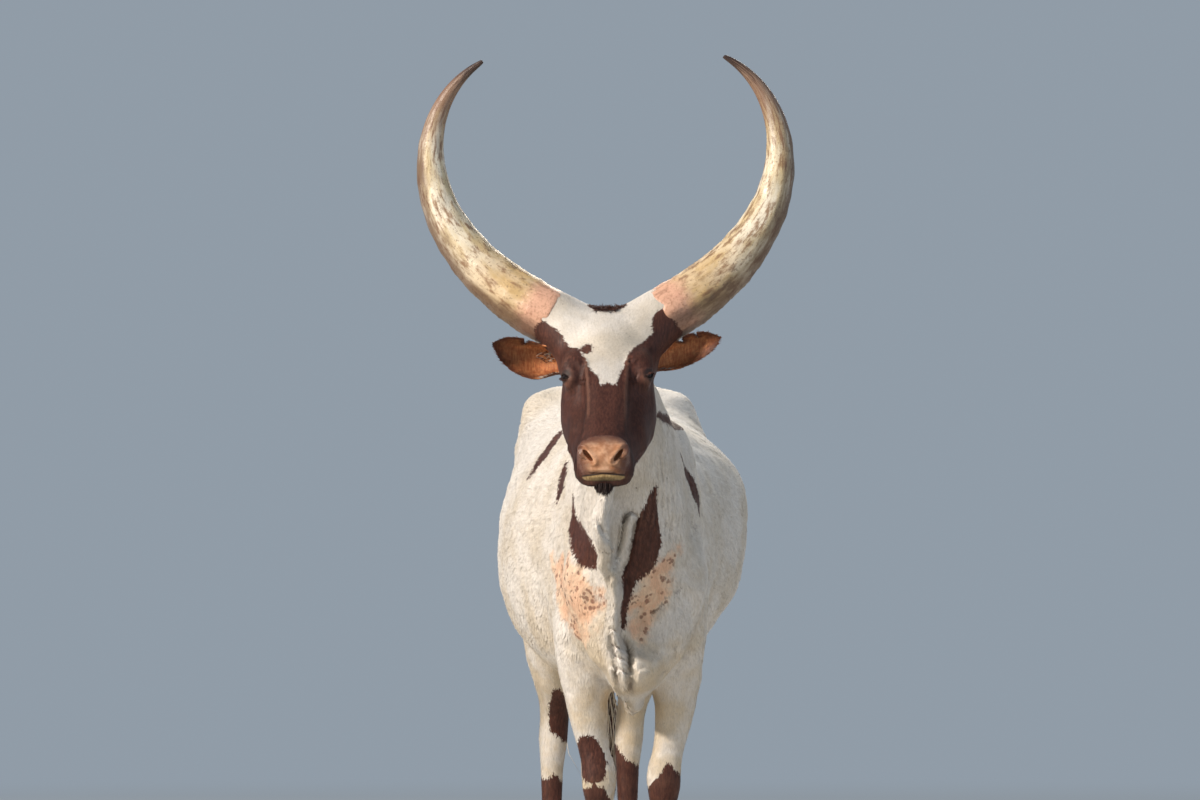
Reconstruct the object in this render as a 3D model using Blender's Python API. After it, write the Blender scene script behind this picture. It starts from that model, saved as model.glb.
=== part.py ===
# A life-size standing cow of the long-horned Ankole-Watusi breed, as a still model.
# Units are metres. X runs to the animal's own left, Y towards the tail, Z up.
# The animal is first shaped whole, as overlapping closed forms that are fused into one skin,
# and is then parted with thin cuts where a person would name its parts.
import math
from collections import namedtuple

import bmesh
import bpy
import numpy as np
from mathutils import Matrix, Vector

for old in list(bpy.data.objects):
    bpy.data.objects.remove(old)

# Driving sizes
WITHERS = 1.305
TRUNK_LENGTH = 1.42
HEAD_LENGTH = 0.49
HORN_ARC = 0.749
HORN_BASE_RADIUS = 0.0672
EAR_LENGTH = 0.185
EYE_RADIUS = 0.0195

# Pose: the trunk stands turned a little, the neck bends back and the face looks ahead.
TRUNK_TURN = math.radians(3.7)
# The hind quarters lean to the right, so that the hind feet stand this far off their line.
HIND_LEAN = -0.036
FORE_LEG_ALONG = 0.235
HEAD_TURN = math.radians(-1.5)
HEAD_ROLL = math.radians(-1.1)
FACE_PITCH = math.radians(42)
POLL = Vector((-0.0588, -0.55, 1.463))

GAP = 0.0003
FUSE_GRAIN = 0.0068
BODY_FACETS = 7200

Station = namedtuple("Station", "at top bottom middle right left top_power low_power")
Slice = namedtuple("Slice", "z front back inner outer")

# The trunk, from the breast at 0 to the pin bones at its full length. Heights are above the
# floor. The left flank is the fuller one, as the rumen lies there.
TRUNK = [
    Station(-0.035, 0.97, 0.80, 0.88, 0.060, 0.060, 2.0, 2.0),
    Station(0.000, 1.09, 0.66, 0.86, 0.120, 0.120, 2.0, 2.0),
    Station(0.080, 1.21, 0.615, 0.87, 0.160, 0.160, 1.9, 2.1),
    Station(0.200, 1.290, 0.590, 0.90, 0.182, 0.182, 1.7, 2.2),
    Station(0.280, WITHERS, 0.580, 0.91, 0.200, 0.200, 1.6, 2.2),
    Station(0.400, 1.290, 0.588, 0.91, 0.236, 0.236, 1.75, 2.2),
    Station(0.600, 1.285, 0.580, 0.91, 0.286, 0.300, 1.9, 2.12),
    Station(0.780, 1.302, 0.586, 0.91, 0.300, 0.320, 2.05, 2.07),
    Station(0.930, 1.348, 0.602, 0.93, 0.280, 0.302, 2.5, 2.1),
    Station(1.030, 1.372, 0.640, 0.98, 0.254, 0.262, 3.1, 2.1),
    Station(1.150, 1.358, 0.700, 1.03, 0.232, 0.236, 2.6, 2.2),
    Station(1.280, 1.322, 0.780, 1.05, 0.190, 0.192, 2.2, 2.2),
    Station(1.370, 1.272, 0.880, 1.08, 0.140, 0.140, 2.0, 2.1),
    Station(TRUNK_LENGTH, 1.190, 1.000, 1.10, 0.070, 0.070, 2.0, 2.0),
]

# Level slices of the legs. Front and back are along the trunk, inner and outer are from the
# middle plane. The first row lies inside the trunk and the last inside the claws.
FORE_LEG = [
    Slice(0.93, 0.140, 0.320, 0.040, 0.130),
    Slice(0.84, 0.100, 0.355, 0.032, 0.168),
    Slice(0.76, 0.110, 0.355, 0.035, 0.190),
    Slice(0.70, 0.135, 0.350, 0.038, 0.190),
    Slice(0.64, 0.158, 0.325, 0.050, 0.180),
    Slice(0.57, 0.178, 0.297, 0.052, 0.167),
    Slice(0.50, 0.190, 0.280, 0.054, 0.150),
    Slice(0.44, 0.198, 0.270, 0.050, 0.131),
    Slice(0.40, 0.192, 0.268, 0.039, 0.122),
    Slice(0.37, 0.190, 0.270, 0.035, 0.121),
    Slice(0.335, 0.196, 0.266, 0.040, 0.117),
    Slice(0.295, 0.204, 0.260, 0.046, 0.107),
    Slice(0.215, 0.208, 0.260, 0.049, 0.104),
    Slice(0.155, 0.205, 0.268, 0.047, 0.108),
    Slice(0.125, 0.199, 0.279, 0.041, 0.114),
    Slice(0.095, 0.192, 0.270, 0.045, 0.111),
    Slice(0.070, 0.178, 0.258, 0.042, 0.114),
    Slice(0.048, 0.166, 0.250, 0.040, 0.116),
    Slice(0.030, 0.170, 0.240, 0.046, 0.110),
]
HIND_LEG = [
    Slice(1.20, 1.120, 1.320, 0.040, 0.140),
    Slice(1.12, 1.020, 1.375, 0.020, 0.195),
    Slice(1.04, 0.975, 1.398, 0.020, 0.228),
    Slice(0.95, 0.950, 1.408, 0.020, 0.240),
    Slice(0.86, 0.938, 1.400, 0.022, 0.233),
    Slice(0.78, 0.950, 1.375, 0.028, 0.212),
    Slice(0.70, 0.990, 1.340, 0.036, 0.200),
    Slice(0.64, 1.050, 1.322, 0.048, 0.182),
    Slice(0.58, 1.105, 1.318, 0.058, 0.159),
    Slice(0.53, 1.160, 1.335, 0.062, 0.141),
    Slice(0.50, 1.195, 1.343, 0.060, 0.138),
    Slice(0.455, 1.212, 1.325, 0.059, 0.139),
    Slice(0.41, 1.214, 1.302, 0.063, 0.134),
    Slice(0.36, 1.222, 1.290, 0.069, 0.129),
    Slice(0.28, 1.226, 1.284, 0.072, 0.126),
    Slice(0.20, 1.222, 1.283, 0.070, 0.127),
    Slice(0.155, 1.214, 1.290, 0.065, 0.132),
    Slice(0.125, 1.206, 1.298, 0.060, 0.137),
    Slice(0.095, 1.197, 1.288, 0.063, 0.134),
    Slice(0.070, 1.184, 1.275, 0.060, 0.137),
    Slice(0.048, 1.172, 1.266, 0.058, 0.139),
    Slice(0.030, 1.176, 1.256, 0.064, 0.133),
]

# Slices across the head, from behind the poll at 0 to the lips. Heights are above the line of
# the face, so the jaw's are below zero.
FACE = [
    Station(-0.035, -0.035, -0.125, -0.080, 0.050, 0.050, 2.2, 2.0),
    Station(-0.010, -0.004, -0.165, -0.080, 0.082, 0.082, 2.4, 2.0),
    Station(0.040, 0.008, -0.200, -0.080, 0.097, 0.097, 2.6, 2.1),
    Station(0.100, 0.006, -0.226, -0.085, 0.099, 0.099, 2.3, 2.2),
    Station(0.160, 0.003, -0.237, -0.098, 0.105, 0.105, 2.0, 2.3),
    Station(0.210, 0.000, -0.236, -0.108, 0.109, 0.109, 1.85, 2.3),
    Station(0.270, -0.003, -0.214, -0.108, 0.101, 0.101, 1.75, 2.2),
    Station(0.330, -0.002, -0.186, -0.098, 0.089, 0.089, 1.8, 2.2),
    Station(0.380, 0.001, -0.162, -0.086, 0.073, 0.073, 1.95, 2.2),
    Station(0.420, 0.002, -0.147, -0.076, 0.062, 0.062, 2.2, 2.3),
    Station(0.446, -0.008, -0.139, -0.072, 0.062, 0.062, 2.4, 2.3),
    Station(0.468, -0.026, -0.126, -0.071, 0.057, 0.057, 2.4, 2.3),
    Station(0.482, -0.041, -0.112, -0.073, 0.048, 0.048, 2.3, 2.3),
    Station(HEAD_LENGTH + 0.002, -0.057, -0.094, -0.075, 0.032, 0.032, 2.2, 2.2),
]
# The flat-topped bridge that runs from between the eyes to the nose.
BRIDGE = [
    Station(0.100, -0.004, -0.090, -0.045, 0.074, 0.074, 3.2, 2.0),
    Station(0.160, 0.004, -0.090, -0.045, 0.070, 0.070, 3.2, 2.0),
    Station(0.220, 0.004, -0.090, -0.045, 0.057, 0.057, 3.2, 2.0),
    Station(0.290, 0.001, -0.090, -0.045, 0.046, 0.046, 3.2, 2.0),
    Station(0.360, 0.003, -0.090, -0.045, 0.042, 0.042, 3.0, 2.0),
    Station(0.415, 0.003, -0.080, -0.045, 0.044, 0.044, 2.8, 2.0),
    Station(0.440, -0.008, -0.070, -0.045, 0.043, 0.043, 2.6, 2.0),
    Station(0.460, -0.026, -0.060, -0.045, 0.034, 0.034, 2.2, 2.0),
]
EYE_PLACE = Vector((0.0815, 0.192, -0.031))
EYE_LOOK = Vector((0.78, 0.40, 0.47)).normalized()

# The lower edge of the dewlap, from the throat to between the fore legs: across, back along Y
# from the fore legs, height, and half thickness.
DEWLAP_EDGE = [
    (-0.052, -0.648, 1.085, 0.016),
    (-0.066, -0.612, 1.000, 0.019),
    (-0.076, -0.560, 0.925, 0.021),
    (-0.068, -0.480, 0.868, 0.022),
    (-0.046, -0.400, 0.800, 0.019),
    (-0.050, -0.335, 0.715, 0.020),
    (-0.046, -0.275, 0.630, 0.022),
    (-0.022, -0.205, 0.570, 0.024),
    (0.008, -0.115, 0.520, 0.026),
    (0.008, -0.010, 0.514, 0.026),
    (-0.004, 0.080, 0.538, 0.026),
    (-0.012, 0.170, 0.575, 0.024),
]

MATERIALS = {
    "hide_white": ((0.78, 0.74, 0.66), 0.65),
    "hide_brown": ((0.12, 0.05, 0.035), 0.6),
    "ear_hide": ((0.32, 0.13, 0.05), 0.7),
    "horn": ((0.72, 0.60, 0.40), 0.4),
    "hoof": ((0.16, 0.12, 0.09), 0.5),
    "eye": ((0.02, 0.012, 0.008), 0.08),
    "tail_hair": ((0.70, 0.64, 0.54), 0.7),
    "teat_skin": ((0.62, 0.38, 0.30), 0.6),
}


def material_of(slot):
    """The slot's plain finish: a colour and a roughness on Blender's standard shader."""
    found = bpy.data.materials.get(slot)
    if found:
        return found
    colour, roughness = MATERIALS[slot]
    made = bpy.data.materials.new(slot)
    made.use_nodes = True
    shader = made.node_tree.nodes["Principled BSDF"]
    shader.inputs["Base Color"].default_value = (*colour, 1)
    shader.inputs["Roughness"].default_value = roughness
    return made


def spline(keys, rows, at):
    """Rows of numbers read at new places along their keys, on a smooth curve that adds no bumps."""
    keys, rows, at = (np.asarray(a, float) for a in (keys, rows, at))
    rows = rows.reshape(len(keys), -1)
    step = np.diff(keys)[:, None]
    slope = np.diff(rows, axis=0) / step
    tangent = np.zeros_like(rows)
    tangent[0], tangent[-1] = slope[0], slope[-1]
    before, after = slope[:-1], slope[1:]
    same_way = before * after > 0
    mean = 2 * before * after / np.where(same_way, before + after, 1)
    tangent[1:-1] = np.where(same_way, mean, 0)
    i = np.clip(np.searchsorted(keys, at, "right") - 1, 0, len(keys) - 2)
    t = ((at - keys[i]) / np.diff(keys)[i])[:, None]
    width = step[i]
    return (
        rows[i] * (2 * t**3 - 3 * t**2 + 1)
        + rows[i + 1] * (3 * t**2 - 2 * t**3)
        + tangent[i] * width * (t**3 - 2 * t**2 + t)
        + tangent[i + 1] * width * (t**3 - t**2)
    )


def make(name, points, faces, slot="hide_white"):
    """A mesh object from its points and faces, with its normals facing out."""
    mesh = bpy.data.meshes.new(name)
    mesh.from_pydata([tuple(p) for p in points], [], [tuple(f) for f in faces])
    build = bmesh.new()
    build.from_mesh(mesh)
    bmesh.ops.recalc_face_normals(build, faces=build.faces)
    build.to_mesh(mesh)
    build.free()
    obj = bpy.data.objects.new(name, mesh)
    bpy.context.scene.collection.objects.link(obj)
    mesh.materials.append(material_of(slot))
    return obj


def tube(name, rings, slot="hide_white"):
    """A closed tube through rings of equal count, with a centre point closing each end."""
    count = len(rings[0])
    points = [p for ring in rings for p in ring]
    faces = []
    for r in range(len(rings) - 1):
        for k in range(count):
            n = (k + 1) % count
            faces.append((r * count + k, r * count + n, (r + 1) * count + n, (r + 1) * count + k))
    for r, turn in ((0, 1), (len(rings) - 1, -1)):
        centre = len(points)
        points.append(np.mean(rings[r], axis=0))
        for k in range(count):
            ends = (r * count + k, r * count + (k + 1) % count)[::turn]
            faces.append((centre, *ends))
    return make(name, points, faces, slot)


def oval(count, right, left, above, below, top_power=2.0, low_power=2.0):
    """Points (across, up) round an oval whose four radii differ. A power over 2 squares it up."""
    found = []
    for k in range(count):
        c = math.cos(2 * math.pi * k / count)
        s = math.sin(2 * math.pi * k / count)
        power = 2 / (top_power if s >= 0 else low_power)
        across = math.copysign(abs(c) ** power, c) * (left if c >= 0 else right)
        up = math.copysign(abs(s) ** power, s) * (above if s >= 0 else below)
        found.append((across, up))
    return found


def blob(name, centre, radii, turn=(0, 0, 0), fineness=3):
    """An egg-like mass: a sphere with three radii, turned by Euler angles in degrees."""
    build = bmesh.new()
    bmesh.ops.create_icosphere(build, subdivisions=fineness, radius=1)
    mesh = bpy.data.meshes.new(name)
    build.to_mesh(mesh)
    build.free()
    obj = bpy.data.objects.new(name, mesh)
    bpy.context.scene.collection.objects.link(obj)
    angles = [math.radians(a) for a in turn]
    spin = Matrix.Rotation(angles[2], 4, "Z") @ Matrix.Rotation(angles[1], 4, "Y")
    spin = spin @ Matrix.Rotation(angles[0], 4, "X")
    mesh.transform(Matrix.Translation(centre) @ spin @ Matrix.Diagonal((*radii, 1)))
    mesh.materials.append(material_of("hide_white"))
    return obj


def place(obj, matrix):
    """Moves the object's points, so that its own place stays at the origin."""
    obj.data.transform(matrix)
    if matrix.determinant() < 0:
        obj.data.flip_normals()
    return obj


def mirrored(obj, name):
    """A copy on the other side of the middle plane."""
    twin = bpy.data.objects.new(name, obj.data.copy())
    bpy.context.scene.collection.objects.link(twin)
    return place(twin, Matrix.Diagonal((-1, 1, 1, 1)))


# From the trunk's own plan, where Y is measured from the breast, to the standing animal.
TRUNK_FRAME = (
    Matrix.Rotation(TRUNK_TURN, 4, "Z") @ Matrix.Translation((0, -FORE_LEG_ALONG, 0))
)
# From the head's plan to the animal: across, along the face towards the lips, and out of it.
DOWN_THE_FACE = Vector((0, -math.sin(FACE_PITCH), -math.cos(FACE_PITCH)))
OUT_OF_THE_FACE = Vector((0, -math.cos(FACE_PITCH), math.sin(FACE_PITCH)))
FACE_AXES = Matrix((Vector((1, 0, 0)), DOWN_THE_FACE, OUT_OF_THE_FACE)).transposed().to_4x4()
HEAD_FRAME = (
    Matrix.Translation(POLL)
    @ Matrix.Rotation(HEAD_TURN, 4, "Z")
    @ Matrix.Rotation(HEAD_ROLL, 4, "Y")
    @ FACE_AXES
)
# The horns keep their own upright frame on the poll, whatever the pitch of the face.
HORN_FRAME = (
    Matrix.Translation(POLL)
    @ Matrix.Rotation(HEAD_TURN, 4, "Z")
    @ Matrix.Rotation(HEAD_ROLL, 4, "Y")
)


def loft_stations(name, stations, rings, count, frame):
    """A closed tube through stations, which are cut across the plan's Y with heights on its Z."""
    keys = [s.at for s in stations]
    at = np.linspace(keys[0], keys[-1], rings)
    rows = spline(keys, [s[1:] for s in stations], at)
    found = []
    for y, (top, bottom, middle, right, left, top_power, low_power) in zip(at, rows):
        ring = oval(count, right, left, top - middle, middle - bottom, top_power, low_power)
        found.append([(x, y, middle + up) for x, up in ring])
    return place(tube(name, found), frame)


def loft_slices(name, slices, rings, count, side, lean=0.0):
    """A leg from its level slices. Side is 1 for the animal's left and -1 for its right. It may
    lean to one side below the trunk."""
    keys = [-s.z for s in slices]
    at = np.linspace(keys[0], keys[-1], rings)
    rows = spline(keys, [s[1:] for s in slices], at)
    found = []
    for minus_z, (front, back, inner, outer) in zip(at, rows):
        x, y = (inner + outer) / 2, (front + back) / 2
        ring = oval(count, (outer - inner) / 2, (outer - inner) / 2, back - y, y - front, 2.3, 2.3)
        aside = lean_at(-minus_z, lean)
        found.append([(side * (x + across) + aside, y + up, -minus_z) for across, up in ring])
    return place(tube(name, found), TRUNK_FRAME)


def lean_at(z, lean):
    """How far a leaning leg is off its line at a height."""
    return lean * min(max((0.98 - z) / 0.60, 0), 1)


def swept(name, centres, radii, count, flat=1.0, side=None):
    """A round or flattened tube along centres. Side is the direction kept across it."""
    rings = []
    side = Vector(side or (1, 0, 0))
    for i, centre in enumerate(centres):
        before = Vector(centres[max(i - 1, 0)])
        after = Vector(centres[min(i + 1, len(centres) - 1)])
        along = (after - before).normalized()
        across = (side - along * side.dot(along)).normalized()
        up = along.cross(across)
        ring = []
        for k in range(count):
            a = 2 * math.pi * k / count
            across_by = across * math.cos(a) * radii[i]
            ring.append(Vector(centre) + across_by + up * math.sin(a) * radii[i] * flat)
        rings.append(ring)
    return tube(name, rings)


def to_mesh(obj):
    """Applies the object's modifiers and drops them."""
    graph = bpy.context.evaluated_depsgraph_get()
    mesh = bpy.data.meshes.new_from_object(obj.evaluated_get(graph))
    obj.modifiers.clear()
    old, obj.data = obj.data, mesh
    bpy.data.meshes.remove(old)
    return obj


def remove(*objects):
    for obj in objects:
        bpy.data.objects.remove(obj)


def joined(name, objects):
    """One object that holds the meshes of all, still as separate shells."""
    build = bmesh.new()
    for obj in objects:
        build.from_mesh(obj.data)
    mesh = bpy.data.meshes.new(name)
    build.to_mesh(mesh)
    build.free()
    made = bpy.data.objects.new(name, mesh)
    bpy.context.scene.collection.objects.link(made)
    mesh.materials.append(material_of("hide_white"))
    remove(*objects)
    return made


def cut(obj, tool, operation):
    """Applies one Boolean with the tool, which is kept."""
    before = obj.data.copy()
    for solver in ("MANIFOLD", "EXACT"):
        modifier = obj.modifiers.new("cut", "BOOLEAN")
        modifier.operation = operation
        modifier.solver = solver
        modifier.object = tool
        to_mesh(obj)
        if obj.data.polygons:
            break
        obj.data = before.copy()
    return obj


def copy_of(obj, name):
    twin = bpy.data.objects.new(name, obj.data.copy())
    bpy.context.scene.collection.objects.link(twin)
    return twin


def arrays_of(mesh):
    points = np.empty(len(mesh.vertices) * 3)
    mesh.vertices.foreach_get("co", points)
    edges = np.empty(len(mesh.edges) * 2, np.int32)
    mesh.edges.foreach_get("vertices", edges)
    return points.reshape(-1, 3), edges.reshape(-1, 2)


def neighbour_mean(points, edges):
    total = np.zeros_like(points)
    count = np.zeros(len(points))
    for a, b in ((0, 1), (1, 0)):
        np.add.at(total, edges[:, a], points[edges[:, b]])
        np.add.at(count, edges[:, a], 1)
    return total / count[:, None]


def relax(mesh, rounds, share=0.5, swell=-0.52):
    """Smooths a mesh without shrinking it, by a step in and a step out in each round."""
    points, edges = arrays_of(mesh)
    for _ in range(rounds):
        for by in (share, swell):
            points += by * (neighbour_mean(points, edges) - points)
    mesh.vertices.foreach_set("co", points.ravel())
    mesh.update()


def settle(mesh, rounds, strength):
    """Plain smoothing whose strength differs from point to point. It blends masses together."""
    points, edges = arrays_of(mesh)
    for _ in range(rounds):
        points += strength(points)[:, None] * (neighbour_mean(points, edges) - points)
    mesh.vertices.foreach_set("co", points.ravel())
    mesh.update()


def blend_strength(points):
    """The trunk and neck blend most, the face and feet least."""
    back = np.array(HEAD_FRAME.inverted())
    local = points @ back[:3, :3].T + back[:3, 3]
    x, y, z = points.T
    strength = np.full(len(points), 0.5)
    strength *= np.clip((z - 0.40) / 0.30, 0.04, 1)
    face = np.clip((-0.40 - y) / 0.08, 0, 1) * np.clip((local[:, 2] + 0.27) / 0.04, 0, 1)
    fine = np.clip((local[:, 1] - 0.09) / 0.08, 0, 1)
    strength *= 1 - face * (0.45 + 0.49 * fine)
    hem = np.clip((-0.10 - y) / 0.05, 0, 1) * np.clip((1.10 - z) / 0.03, 0, 1)
    hem *= np.clip(((-y - 0.235) * 0.76 - (z - 0.70) * 0.65 - 0.01) / 0.03, 0, 1)
    low = np.clip((0.60 - z) / 0.03, 0, 1) * (np.abs(x) < 0.05) * (y < 0.25)
    return strength * (1 - 0.85 * np.maximum(hem, low))


def grown(obj, name, by):
    """A copy with its surface moved out along its normals."""
    twin = copy_of(obj, name)
    points, _ = arrays_of(twin.data)
    normals = np.empty(len(points) * 3)
    twin.data.vertices.foreach_get("normal", normals)
    points += normals.reshape(-1, 3) * by
    twin.data.vertices.foreach_set("co", points.ravel())
    twin.data.update()
    return twin


def keep_largest(obj):
    """Keeps only the largest closed surface of the object."""
    build = bmesh.new()
    build.from_mesh(obj.data)
    build.verts.ensure_lookup_table()
    unseen, shells = set(build.verts), []
    while unseen:
        edge, shell = [unseen.pop()], []
        while edge:
            vert = edge.pop()
            shell.append(vert)
            for link in vert.link_edges:
                other = link.other_vert(vert)
                if other in unseen:
                    unseen.remove(other)
                    edge.append(other)
        shells.append(shell)
    if len(shells) > 1:
        shells.sort(key=len)
        drop = [v for shell in shells[:-1] for v in shell]
        bmesh.ops.delete(build, geom=drop, context="VERTS")
    bmesh.ops.triangulate(build, faces=build.faces)
    build.to_mesh(obj.data)
    build.free()
    return obj


def wedge_box(name, corners):
    """A closed box from eight corners: four below, then the four above them."""
    faces = [(3, 2, 1, 0), (4, 5, 6, 7), (0, 1, 5, 4), (1, 2, 6, 5), (2, 3, 7, 6), (3, 0, 4, 7)]
    return make(name, corners, faces)


def trunk_forms():
    """The barrel, the bones that show at hip and rump, and the masses of shoulder and breast."""
    yield loft_stations("barrel", TRUNK, 64, 56, TRUNK_FRAME)
    masses = [
        # name, centre, radii, turn
        ("scapula", (0.098, 0.190, 1.00), (0.064, 0.120, 0.240), (14, 0, 0)),
        ("point_of_shoulder", (0.118, 0.070, 0.850), (0.062, 0.085, 0.110), (0, 0, 0)),
        ("triceps", (0.132, 0.250, 0.810), (0.056, 0.120, 0.125), (30, 0, 0)),
        ("pectoral", (0.070, 0.060, 0.730), (0.062, 0.085, 0.105), (0, 0, 0)),
        ("hook_bone", (0.170, 1.015, 1.290), (0.056, 0.085, 0.060), (0, 0, 0)),
        ("pin_bone", (0.072, 1.380, 1.165), (0.038, 0.040, 0.046), (0, 0, 0)),
        ("rump_muscle", (0.108, 1.190, 1.130), (0.112, 0.220, 0.190), (0, 0, 0)),
    ]
    for name, centre, radii, turn in masses:
        left = blob(name, centre, radii, turn)
        yield place(mirrored(left, name + "_right"), TRUNK_FRAME)
        yield place(left, TRUNK_FRAME)
    yield place(blob("brisket", (0, 0.10, 0.640), (0.080, 0.155, 0.075)), TRUNK_FRAME)
    yield place(blob("withers_hump", (0, 0.235, 1.225), (0.060, 0.150, 0.085)), TRUNK_FRAME)
    yield place(blob("tail_head", (0, 1.335, 1.255), (0.040, 0.080, 0.045)), TRUNK_FRAME)
    centres, radii = tail_line(np.linspace(0, DOCK + 0.04, 10))
    yield place(swept("dock", centres, radii * 1.06, 16), TRUNK_FRAME)


NECK_BASE = TRUNK_FRAME @ Vector((0, 0.130, 0.975))
NECK_END = HEAD_FRAME @ Vector((0, 0.080, -0.105))


def neck_forms():
    """The neck, deep and flat-sided at the shoulder and finer behind the jaw."""
    middle = (NECK_BASE + NECK_END) / 2 + Vector((0.018, 0.0, 0.012))
    keys = [0, 0.5, 1.0]
    at = np.linspace(0, 1, 22)
    centres = spline(keys, [NECK_BASE, middle, NECK_END], at)
    sizes = spline(
        [0, 0.25, 0.5, 0.75, 1.0],
        [(0.165, 0.270), (0.135, 0.235), (0.105, 0.188), (0.088, 0.148), (0.082, 0.118)],
        at,
    )
    along = (NECK_END - NECK_BASE).normalized()
    across = Vector((1, 0, 0))
    across = (across - along * across.dot(along)).normalized()
    up = along.cross(across)
    up = up if up.z > 0 else -up
    rings = []
    for centre, (half_width, half_depth) in zip(centres, sizes):
        ring = oval(40, half_width, half_width, half_depth, half_depth, 1.9, 1.9)
        rings.append([Vector(centre) + across * x + up * y for x, y in ring])
    yield tube("neck_form", rings)


def head_forms():
    """The skull and jaw, brows, cheeks, muzzle, lower lip, and the roots of horns and ears."""
    yield loft_stations("face", FACE, 44, 40, HEAD_FRAME)
    yield loft_stations("bridge", BRIDGE, 32, 28, HEAD_FRAME)
    masses = [
        ("brow", (0.072, 0.160, -0.020), (0.034, 0.046, 0.024), (0, 0, 0)),
        ("orbit", (0.080, 0.194, -0.036), (0.023, 0.034, 0.030), (0, 0, 0)),
        ("jowl", (0.074, 0.215, -0.130), (0.036, 0.090, 0.082), (0, 0, 0)),
        ("nostril_wing", (0.035, 0.434, -0.030), (0.025, 0.036, 0.028), (0, 0, 0)),
        ("upper_lip", (0.038, 0.436, -0.066), (0.027, 0.042, 0.030), (0, 0, 0)),
        ("lower_lip", (0.016, 0.442, -0.106), (0.034, 0.034, 0.026), (0, 0, 0)),
        ("ear_root", (0.090, 0.094, -0.104), (0.032, 0.030, 0.036), (0, 0, 0)),
        ("temple", (0.090, 0.105, -0.058), (0.026, 0.055, 0.040), (0, 0, 0)),
        ("horn_saddle", (0.085, 0.032, -0.050), (0.075, 0.062, 0.062), (0, 0, 0)),
    ]
    for name, centre, radii, turn in masses:
        left = blob(name, centre, radii, turn)
        yield place(mirrored(left, name + "_right"), HEAD_FRAME)
        yield place(left, HEAD_FRAME)
    yield place(blob("nose_pad", (0, 0.450, -0.042), (0.044, 0.030, 0.040)), HEAD_FRAME)
    for side in (1, -1):
        centres, radii = horn_line(side, np.linspace(-0.10, 0.035, 10))
        collar = [r * 1.03 for r in radii]
        yield swept("horn_root", centres, collar, 24, side=(0, 1, 0))


DOCK = 0.22


def tail_line(shares):
    """Centres and radii at shares of the tail's length, in the trunk's plan."""
    path = [(0, 1.330, 1.255), (0, 1.392, 1.258), (0, 1.437, 1.212), (0, 1.459, 1.120)]
    path += [(0.003, 1.464, 1.00), (0.006, 1.460, 0.85), (0.008, 1.453, 0.70), (0.008, 1.450, 0.60)]
    path = np.array(path)
    keys = np.concatenate([[0], np.cumsum(np.linalg.norm(np.diff(path, axis=0), axis=1))])
    centres = [Vector(p) for p in spline(keys / keys[-1], path, shares)]
    radii = spline([0, 0.25, 0.5, 1], [0.029, 0.0215, 0.016, 0.0115], shares)[:, 0]
    return centres, radii


def trim_dock(body):
    """Ends the root of the tail in the plane where the tail's own piece begins."""
    (start, ahead), _ = tail_line([DOCK, DOCK + 0.004])
    along = (ahead - start).normalized()
    across = Vector((1, 0, 0))
    up = along.cross(across).normalized()
    planes = [(start, -along), (start + along * 0.1, along)]
    for way, reach in ((up, 0.034), (-up, 0.034), (across, 0.048), (-across, 0.048)):
        planes.append((start + way * reach, way))
    stub = convex("stub", placed(planes, TRUNK_FRAME))
    cut(body, stub, "DIFFERENCE")
    remove(stub)


def horn_line(side, distances):
    """Centres and radii along a horn, at distances from its root. Seen from the front the line
    turns ever faster, from rising outward to pointing in at the tip, and it leans back."""
    outward, height, turned = 0.1442, -0.0086, math.radians(30.4)
    places, radii = [], []
    for distance in distances:
        steps = np.linspace(0, distance, 60)
        angles = turned + math.radians(58) * steps + math.radians(139.9) * steps**2
        if distance < 0:
            angles = turned + math.radians(40) * steps
        x = outward + np.trapz(np.cos(angles), steps)
        z = height + np.trapz(np.sin(angles), steps)
        share = max(distance, 0) / HORN_ARC
        y = 0.042 + 0.15 * share - 0.10 * share**2.5
        places.append(HORN_FRAME @ Vector((side * x, y, z)))
        radii.append(max(HORN_BASE_RADIUS * (1 - share**1.25), 0) + 0.0054 * share)
    return places, radii


def leg_forms():
    for side in (1, -1):
        yield loft_slices("fore_leg_form", FORE_LEG, 70, 28, side)
        yield loft_slices("hind_leg_form", HIND_LEG, 80, 30, side, HIND_LEAN)


def dewlap_form():
    """The loose fold of skin under throat, neck and breast: a waving sheet with a thick hem."""
    edge = np.array(DEWLAP_EDGE)
    keys = np.concatenate([[0], np.cumsum(np.linalg.norm(np.diff(edge[:, :3], axis=0), axis=1))])
    at = np.linspace(0, keys[-1], 72)
    rows = spline(keys, edge, at)
    hem = [(-0.6, 0.014), (-1, 0.026), (-0.8, 0.05), (-0.60, 0.09), (-0.8, 0.16), (-1.2, 0.24)]
    profile = [(0, 0.0), *[(-a, b) for a, b in hem], *[(a, b) for a, b in reversed(hem)]]
    rings = []
    for distance, (x, y, z, thick) in zip(at, rows):
        root_x = POLL.x * min(max((-0.12 - y) / 0.45, 0), 1)
        ends = min(1, distance / 0.15, (keys[-1] - distance) / 0.15)
        wave = (0.006 * math.sin(distance * 34) + 0.004 * math.sin(distance * 77 + 1)) * ends
        blend = min(max((y + 0.35) / 0.3, 0), 1)
        into = Vector((0, 0.80 - 0.62 * blend, 0.60 + 0.38 * blend)).normalized()
        ring = []
        for across, depth in profile:
            sway = wave * max(0, 1 - depth / 0.12)
            lean = (root_x - x) * min(1, depth / 0.16)
            ring.append(Vector((x + lean + sway + across * thick, y, z)) + into * depth)
        rings.append(ring)
    return tube("dewlap_form", rings)


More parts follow.
